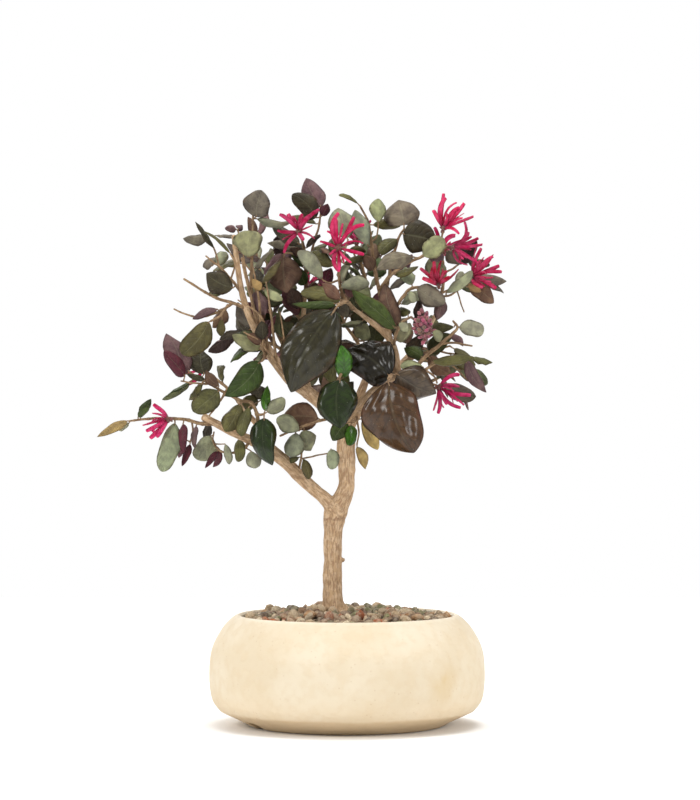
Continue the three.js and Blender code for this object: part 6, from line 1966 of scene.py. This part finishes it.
def twig_tube(line, radius, seed):
    """A thin tube that thickens at its nodes: the radius gains a bump every few millimetres along it."""
    whole = curve_through(np.column_stack([line, radius]), 1.6)
    line, radius = whole[:, :3], np.maximum(whole[:, 3], THINNEST_TWIG)
    swell = 1 + 0.22 * np.clip(np.sin(2 * np.pi * distance_along(line) / NODE_SPACING + seed), 0, 1) ** 6
    bend = 0.18 * ripple(line, 9.0, 31)[:, None] * unit(np.cross(line[-1] - line[0], [0.3, 1.0, 0.2]))
    bend *= np.sin(np.pi * np.linspace(0, 1, len(whole)))[:, None]
    return tube(line + bend, radius * swell, TWIG_SIDES)


def stalk_tube(blade):
    """A leaf's stalk: a slightly bent tube from its foot on the stem to just inside the blade's base."""
    foot, base = blade["foot"], blade["base"]
    inside = base + blade["along"] * 0.06 * blade["length"] + blade["normal"] * 0.02 * blade["length"]
    bend = (foot + base) / 2 - 0.06 * blade["normal"] * np.linalg.norm(base - foot)
    thick = 0.42 + 0.006 * blade["length"]
    radii = [1.15 * thick, 0.85 * thick, 0.8 * thick, 0.45 * thick]
    return tube(np.stack([foot, bend, base, inside]), radii, 5, 0.3)


def dress_spray(name, node, slot, stems, blades, seed):
    """One piece for a spray: leaf blades, leaf stalks and twigs in one mesh with three finishes."""
    tubes = [twig_tube(line, radius, seed + k) for k, (line, radius) in enumerate(stems)]
    tubes += [stalk_tube(blade) for blade in blades]
    points, squares, caps, grain = joined(tubes)
    wooden = corner_count(squares, caps)
    point_sets, triangle_sets, grains = [points], [caps], [grain]
    finishes = [np.full(len(squares) + len(caps), 2)]
    tints, unders, uvs = [np.ones((wooden, 4))], [np.zeros(wooden)], [np.zeros((wooden, 2))]
    start = len(points)
    source = np.random.default_rng(seed)
    upper = float("inf")
    for shortest, rows, columns in LEAF_CLASSES:
        chosen = [blade for blade in blades if shortest <= blade["length"] < upper]
        upper = shortest
        if not chosen:
            continue
        leaf_points, leaf_faces, below, uv = leaf_surfaces(chosen, rows, columns, seed + rows)
        fronts, backs, varied, felted = zip(*(LEAF_COLOURS[blade["finish"]] for blade in chosen))
        shift = 1 + source.uniform(-1, 1, (len(chosen), 1)) * np.array(varied)[:, None]
        shift = np.hstack([shift + source.normal(size=(len(chosen), 3)) * 0.03, np.ones((len(chosen), 1))])
        shown, hidden = linear_rows(fronts) * shift, linear_rows(backs) * shift
        glossy = np.array([blade["finish"] in GLOSSY for blade in chosen])
        side = below[None, :, None]
        tint = (shown[:, None] * (1 - side) + hidden[:, None] * side).reshape(-1, 4)
        tints.append(np.repeat(tint, 3, 0))
        finishes.append((glossy[:, None] * (1 - below)).astype(int).reshape(-1))
        unders.append(np.repeat(np.abs(below - np.array(felted)[:, None]).reshape(-1), 3))
        uvs.append(np.tile(uv, (len(chosen), 1))[leaf_faces].reshape(-1, 2))
        point_sets.append(leaf_points)
        triangle_sets.append(leaf_faces + start)
        grains.append(np.zeros((len(leaf_points), 3)))
        start += len(leaf_points)
    mesh = place_on_mesh(
        name,
        np.vstack(point_sets),
        [squares, np.vstack(triangle_sets)],
        corner_values={"tint": np.vstack(tints), "underside": np.concatenate(unders)},
        point_values={"grain": np.vstack(grains) * MM},
        uv=np.vstack(uvs),
    )
    finish = np.concatenate(finishes)
    return add_piece(name, mesh, [leaf_satin, leaf_gloss, twig_bark], [node] if node else [], slot, finish)


faces = 0
for number, (name, stems) in enumerate(spray_stems.items()):
    short = name.removeprefix("ruled_")
    slot = SPRAYS[name][0] if name in SPRAYS else ("leaf_purple", "leaf_green")[number % 2]
    blades = spray_leaves[name] + fill_leaves[name]
    piece = dress_spray(f"foliage_{short}", f"spray_{short}", slot, stems, blades, 100 + number)
    faces += len(piece.data.polygons)
inner = [blade for name, blades in fill_leaves.items() if name.startswith("wood_") for blade in blades]
piece = dress_spray("foliage_on_branches", None, "leaf_green", [], inner, 200)
print(len(spray_stems), "sprays,", faces + len(piece.data.polygons), "faces")

# %% [markdown]
# ### Bare twigs
#
# Left of the middle the photograph shows a fan of thin bare twigs in front of the old limb. They are thinner
# than the solids allow, so they are added here by the same function, each from three stations.

# %% Bare twigs in front of the limb
BARE_TWIGS = [  # stations of (column, row, front, radius) on the elevation
    [(256, 318, 7, 1.5), (248, 284, 11, 1.1), (243, 252, 10, 0.7)],
    [(262, 340, 8, 1.6), (259, 300, 14, 1.2), (252, 262, 15, 0.7)],
    [(268, 352, 9, 1.5), (262, 318, 16, 1.1), (238, 300, 18, 0.6)],
    [(276, 362, 10, 1.6), (272, 322, 17, 1.2), (266, 282, 18, 0.7)],
    [(284, 374, 10, 1.4), (262, 344, 16, 1.1), (244, 332, 17, 0.6)],
    [(292, 386, 9, 1.3), (286, 350, 15, 1.0), (280, 312, 16, 0.6)],
]
bare_stems = [placed_stem(twig) for twig in BARE_TWIGS]
dress_spray("bare_twigs", None, "bark", bare_stems, [], 210)
print(len(bare_stems), "bare twigs")

# %% [markdown]
# ## Petals and buds
#
# A fringe flower has strap petals, four to a flower and several flowers to a head, each a crinkled ribbon
# about three millimetres wide that narrows at its foot and curls at its tip. A petal is again a grid: rows
# along a bent line and a flat ring across it. The listed petals go where the photograph shows them, and
# a few thinner ones fill each head. Small felted cups hold the petals at the heart.

# %% Ribbons of petals
PETAL_WIDTH = 3.3  # mm
PETAL_THICKNESS = 0.32
PETAL_ROWS = 11
PETAL_COLOURS = {"red": (186, 10, 52), "pink": (214, 14, 92)}


def petal_ribbons(starts, tips, widths, seed):
    """Closed ribbons from starts to tips, all at once.

    The middle line is the straight chord, plus an arch upwards, plus a bow to one side and a hook that grows
    with the fourth power of the share s. The half width goes as (s + 0.04)^0.35 (1.06 - s)^0.22, and the
    ribbon twists and crinkles along s.
    """
    count = len(starts)
    source = np.random.default_rng(seed)
    s = (np.arange(PETAL_ROWS) / (PETAL_ROWS - 1))[None, :, None]
    chord = (tips - starts)[:, None]
    reach = np.linalg.norm(chord, axis=-1, keepdims=True)
    arch = np.array([0, 0, 1.0]) * 0.09 * s * (1 - s) * reach
    sideways = unit(np.cross(chord, source.normal(size=(count, 1, 3))))
    bow, hook = source.uniform(-1, 1, (2, count, 1, 1))
    curl = sideways * reach * (0.75 * s * (1 - s) * bow + 0.26 * s**4 * hook)
    line = starts[:, None] + chord * s + arch + curl
    along = unit(np.gradient(line, axis=1))
    across = np.cross(TOWARDS_EYE, along)
    flat = np.linalg.norm(across, axis=-1, keepdims=True)
    across = unit(np.where(flat < 0.3, np.cross([1.0, 0, 0], along), across))
    other = np.cross(along, across)
    twist = source.uniform(-0.9, 0.9, (count, 1, 1)) + source.uniform(-1.2, 1.2, (count, 1, 1)) * s
    turned_across = across * np.cos(twist) + other * np.sin(twist)
    across, other = turned_across, other * np.cos(twist) - across * np.sin(twist)
    half = 0.5 * widths[:, None, None] * (s + 0.04) ** 0.35 * (1.06 - s) ** 0.22 * 1.05
    t = np.array([-1, -0.5, 0, 0.5, 1, 0.5, 0, -0.5])[None, None, :]
    face = np.array([0, 1, 1, 1, 0, -1, -1, -1])[None, None, :]
    crinkle = 0.1 * np.sin(2 * np.pi * (4.2 * s) + source.uniform(0, 6.28, (count, 1, 1)) + 2.4 * t)
    lift = face * PETAL_THICKNESS / 2 + 0.42 * half * t * t + crinkle * np.abs(t)
    points = line[:, :, None] + across[:, :, None] * (t * half)[..., None]
    points = points + other[:, :, None] * lift[..., None]
    ring = t.shape[2]
    poles = np.stack([line[:, 0] - along[:, 0] * 0.15, line[:, -1] + along[:, -1] * 0.3], 1)
    points = np.concatenate([points.reshape(count, -1, 3), poles], axis=1)
    squares = grid_faces(PETAL_ROWS, ring, closed_rows=True)[:, ::-1]
    caps = end_fans(ring, (PETAL_ROWS - 1) * ring, PETAL_ROWS * ring)[:, [1, 0, 2]]
    squares, caps = (repeated(faces, count, points.shape[1]) for faces in (squares, caps))
    return points.reshape(-1, 3), squares, caps, np.tile(blade_map(s, t, PETAL_ROWS, ring), (count, 1))


def oval_buds(middles, ways, length, width, seed):
    """Small closed ovals: the rounded ball stretched along each way, with one end drawn out a little."""
    source = np.random.default_rng(seed)
    ball, faces = rounded_ball()
    count = len(middles)
    along = unit(ways)
    across = unit(np.cross(along, source.normal(size=(count, 3))))
    other = np.cross(along, across)
    size = source.uniform(0.75, 1.2, (count, 1, 1))
    narrow = 1 - 0.25 * ball[None, :, 2:3]
    points = middles[:, None] + size * (
        across[:, None] * ball[None, :, 0:1] * narrow * width / 2
        + other[:, None] * ball[None, :, 1:2] * narrow * width / 2
        + along[:, None] * ball[None, :, 2:3] * length / 2
    )
    return points.reshape(-1, 3), repeated(faces, count, len(ball))


def dress_bloom(name, heart, lines, colour, seed):
    """One piece for a flower head: petals and felted cups."""
    source = np.random.default_rng(seed)
    tips = np.array([line[-1] for line in lines])
    halfway = np.roll(tips, 1, axis=0) * 0.5 + tips * 0.5
    between = heart + (halfway - heart) * source.uniform(0.75, 0.95, (len(tips), 1))
    way = unit(tips - heart)
    way_between = unit(between - heart)
    chosen = np.arange(len(tips)) % 2 == 0
    starts = np.vstack([heart + way * 1.2, (heart + way_between)[chosen]])
    ends = np.vstack([tips, between[chosen]])
    broad, narrow = source.uniform(0.95, 1.25, len(tips)), source.uniform(0.6, 0.85, chosen.sum())
    widths = np.concatenate([broad, narrow]) * PETAL_WIDTH
    points, squares, caps, uv = petal_ribbons(starts, ends, widths, seed)
    cup_ways = unit(np.vstack([way, -way[:3]]) + source.normal(size=(len(way) + 3, 3)) * 0.25)
    cup_points, cup_faces = oval_buds(heart + cup_ways * 1.5, cup_ways, 2.9, 1.7, seed)
    cup_faces = cup_faces + len(points)
    shift = source.uniform(0.85, 1.12, 3) * source.uniform(0.9, 1.1)
    petal_tint = np.array(linear(*colour)) * np.append(shift, 1)
    cup_tint = np.array(linear(120, 66, 58))
    tint = np.vstack(
        [np.tile(petal_tint, (corner_count(squares, caps), 1)), np.tile(cup_tint, (3 * len(cup_faces), 1))]
    )
    uv = np.vstack([uv[squares].reshape(-1, 2), uv[caps].reshape(-1, 2), np.zeros((3 * len(cup_faces), 2))])
    mesh = place_on_mesh(
        f"petals_{name}", np.vstack([points, cup_points]), [squares, np.vstack([caps, cup_faces])],
        corner_values={"tint": tint}, uv=uv,
    )
    finish = np.concatenate([np.zeros(len(squares) + len(caps)), np.ones(len(cup_faces))])
    return add_piece(f"petals_{name.removeprefix('bloom_')}", mesh, [petal, felt], [name], "petal", finish)


for number, (name, lines) in enumerate(petal_lines.items()):
    colour = PETAL_COLOURS["red" if name == "bloom_red" else "pink"]
    dress_bloom(name, hearts[name], lines, colour, 300 + number)
print(len(petal_lines), "flower heads dressed")

# %% The bunch of buds
BUD_COUNT = 70
BUD_COLOURS = ((190, 84, 116), (160, 66, 98), (204, 118, 138), (140, 70, 84), (128, 96, 76))
source = np.random.default_rng(8)
bud_middle = seen(BUDS["middle"])
bud_foot = seen(BUDS["foot"])
order = np.arange(BUD_COUNT)
height = 1 - 2 * (order + 0.5) / BUD_COUNT
turn = order * math.radians(GOLDEN_ANGLE)
ring = np.sqrt(1 - height**2)
ways = np.stack([ring * np.cos(turn), ring * np.sin(turn), height], -1)
reach = np.array([BUDS["reach"][0], BUDS["reach"][2], BUDS["reach"][1]]) * STEP
shell = ways * reach * source.uniform(0.45, 1.0, (BUD_COUNT, 1)) * (0.85, 0.9, 1.2)
bud_points, bud_faces = oval_buds(bud_middle + shell, ways * (1, 1, 0.6) + (0, 0, 0.35), 3.6, 2.5, 9)
stalk_points, stalk_squares, stalk_caps, _ = joined(
    [tube(np.stack([bud_foot, bud_middle]), [0.8, 0.7], 7)]
    + [tube(np.stack([bud_middle, bud_middle + offset]), [0.5, 0.35], 4) for offset in shell[::3]]
)
bud_faces = bud_faces + len(stalk_points)
palette = linear_rows(BUD_COLOURS)
bud_tint = np.repeat(palette[source.integers(0, len(palette), BUD_COUNT)], BALL_FACES * 3, axis=0)
stalk_tint = np.tile(linear(126, 84, 62), (corner_count(stalk_squares, stalk_caps), 1))
mesh = place_on_mesh(
    "buds", np.vstack([stalk_points, bud_points]), [stalk_squares, np.vstack([stalk_caps, bud_faces])],
    corner_values={"tint": np.vstack([stalk_tint, bud_tint])},
)
add_piece("buds", mesh, [felt], ["bud_bunch"], "bud")
print("buds:", BUD_COUNT)

# %% [markdown]
# ## The floor's finish
#
# The floor is plain, pale and matt.

# %% The floor's finish
paper, tree, shader = new_finish("pale_floor", 0.9)
shader.inputs["Base Color"].default_value = (0.93, 0.93, 0.93, 1)
floor.data.materials.append(paper)
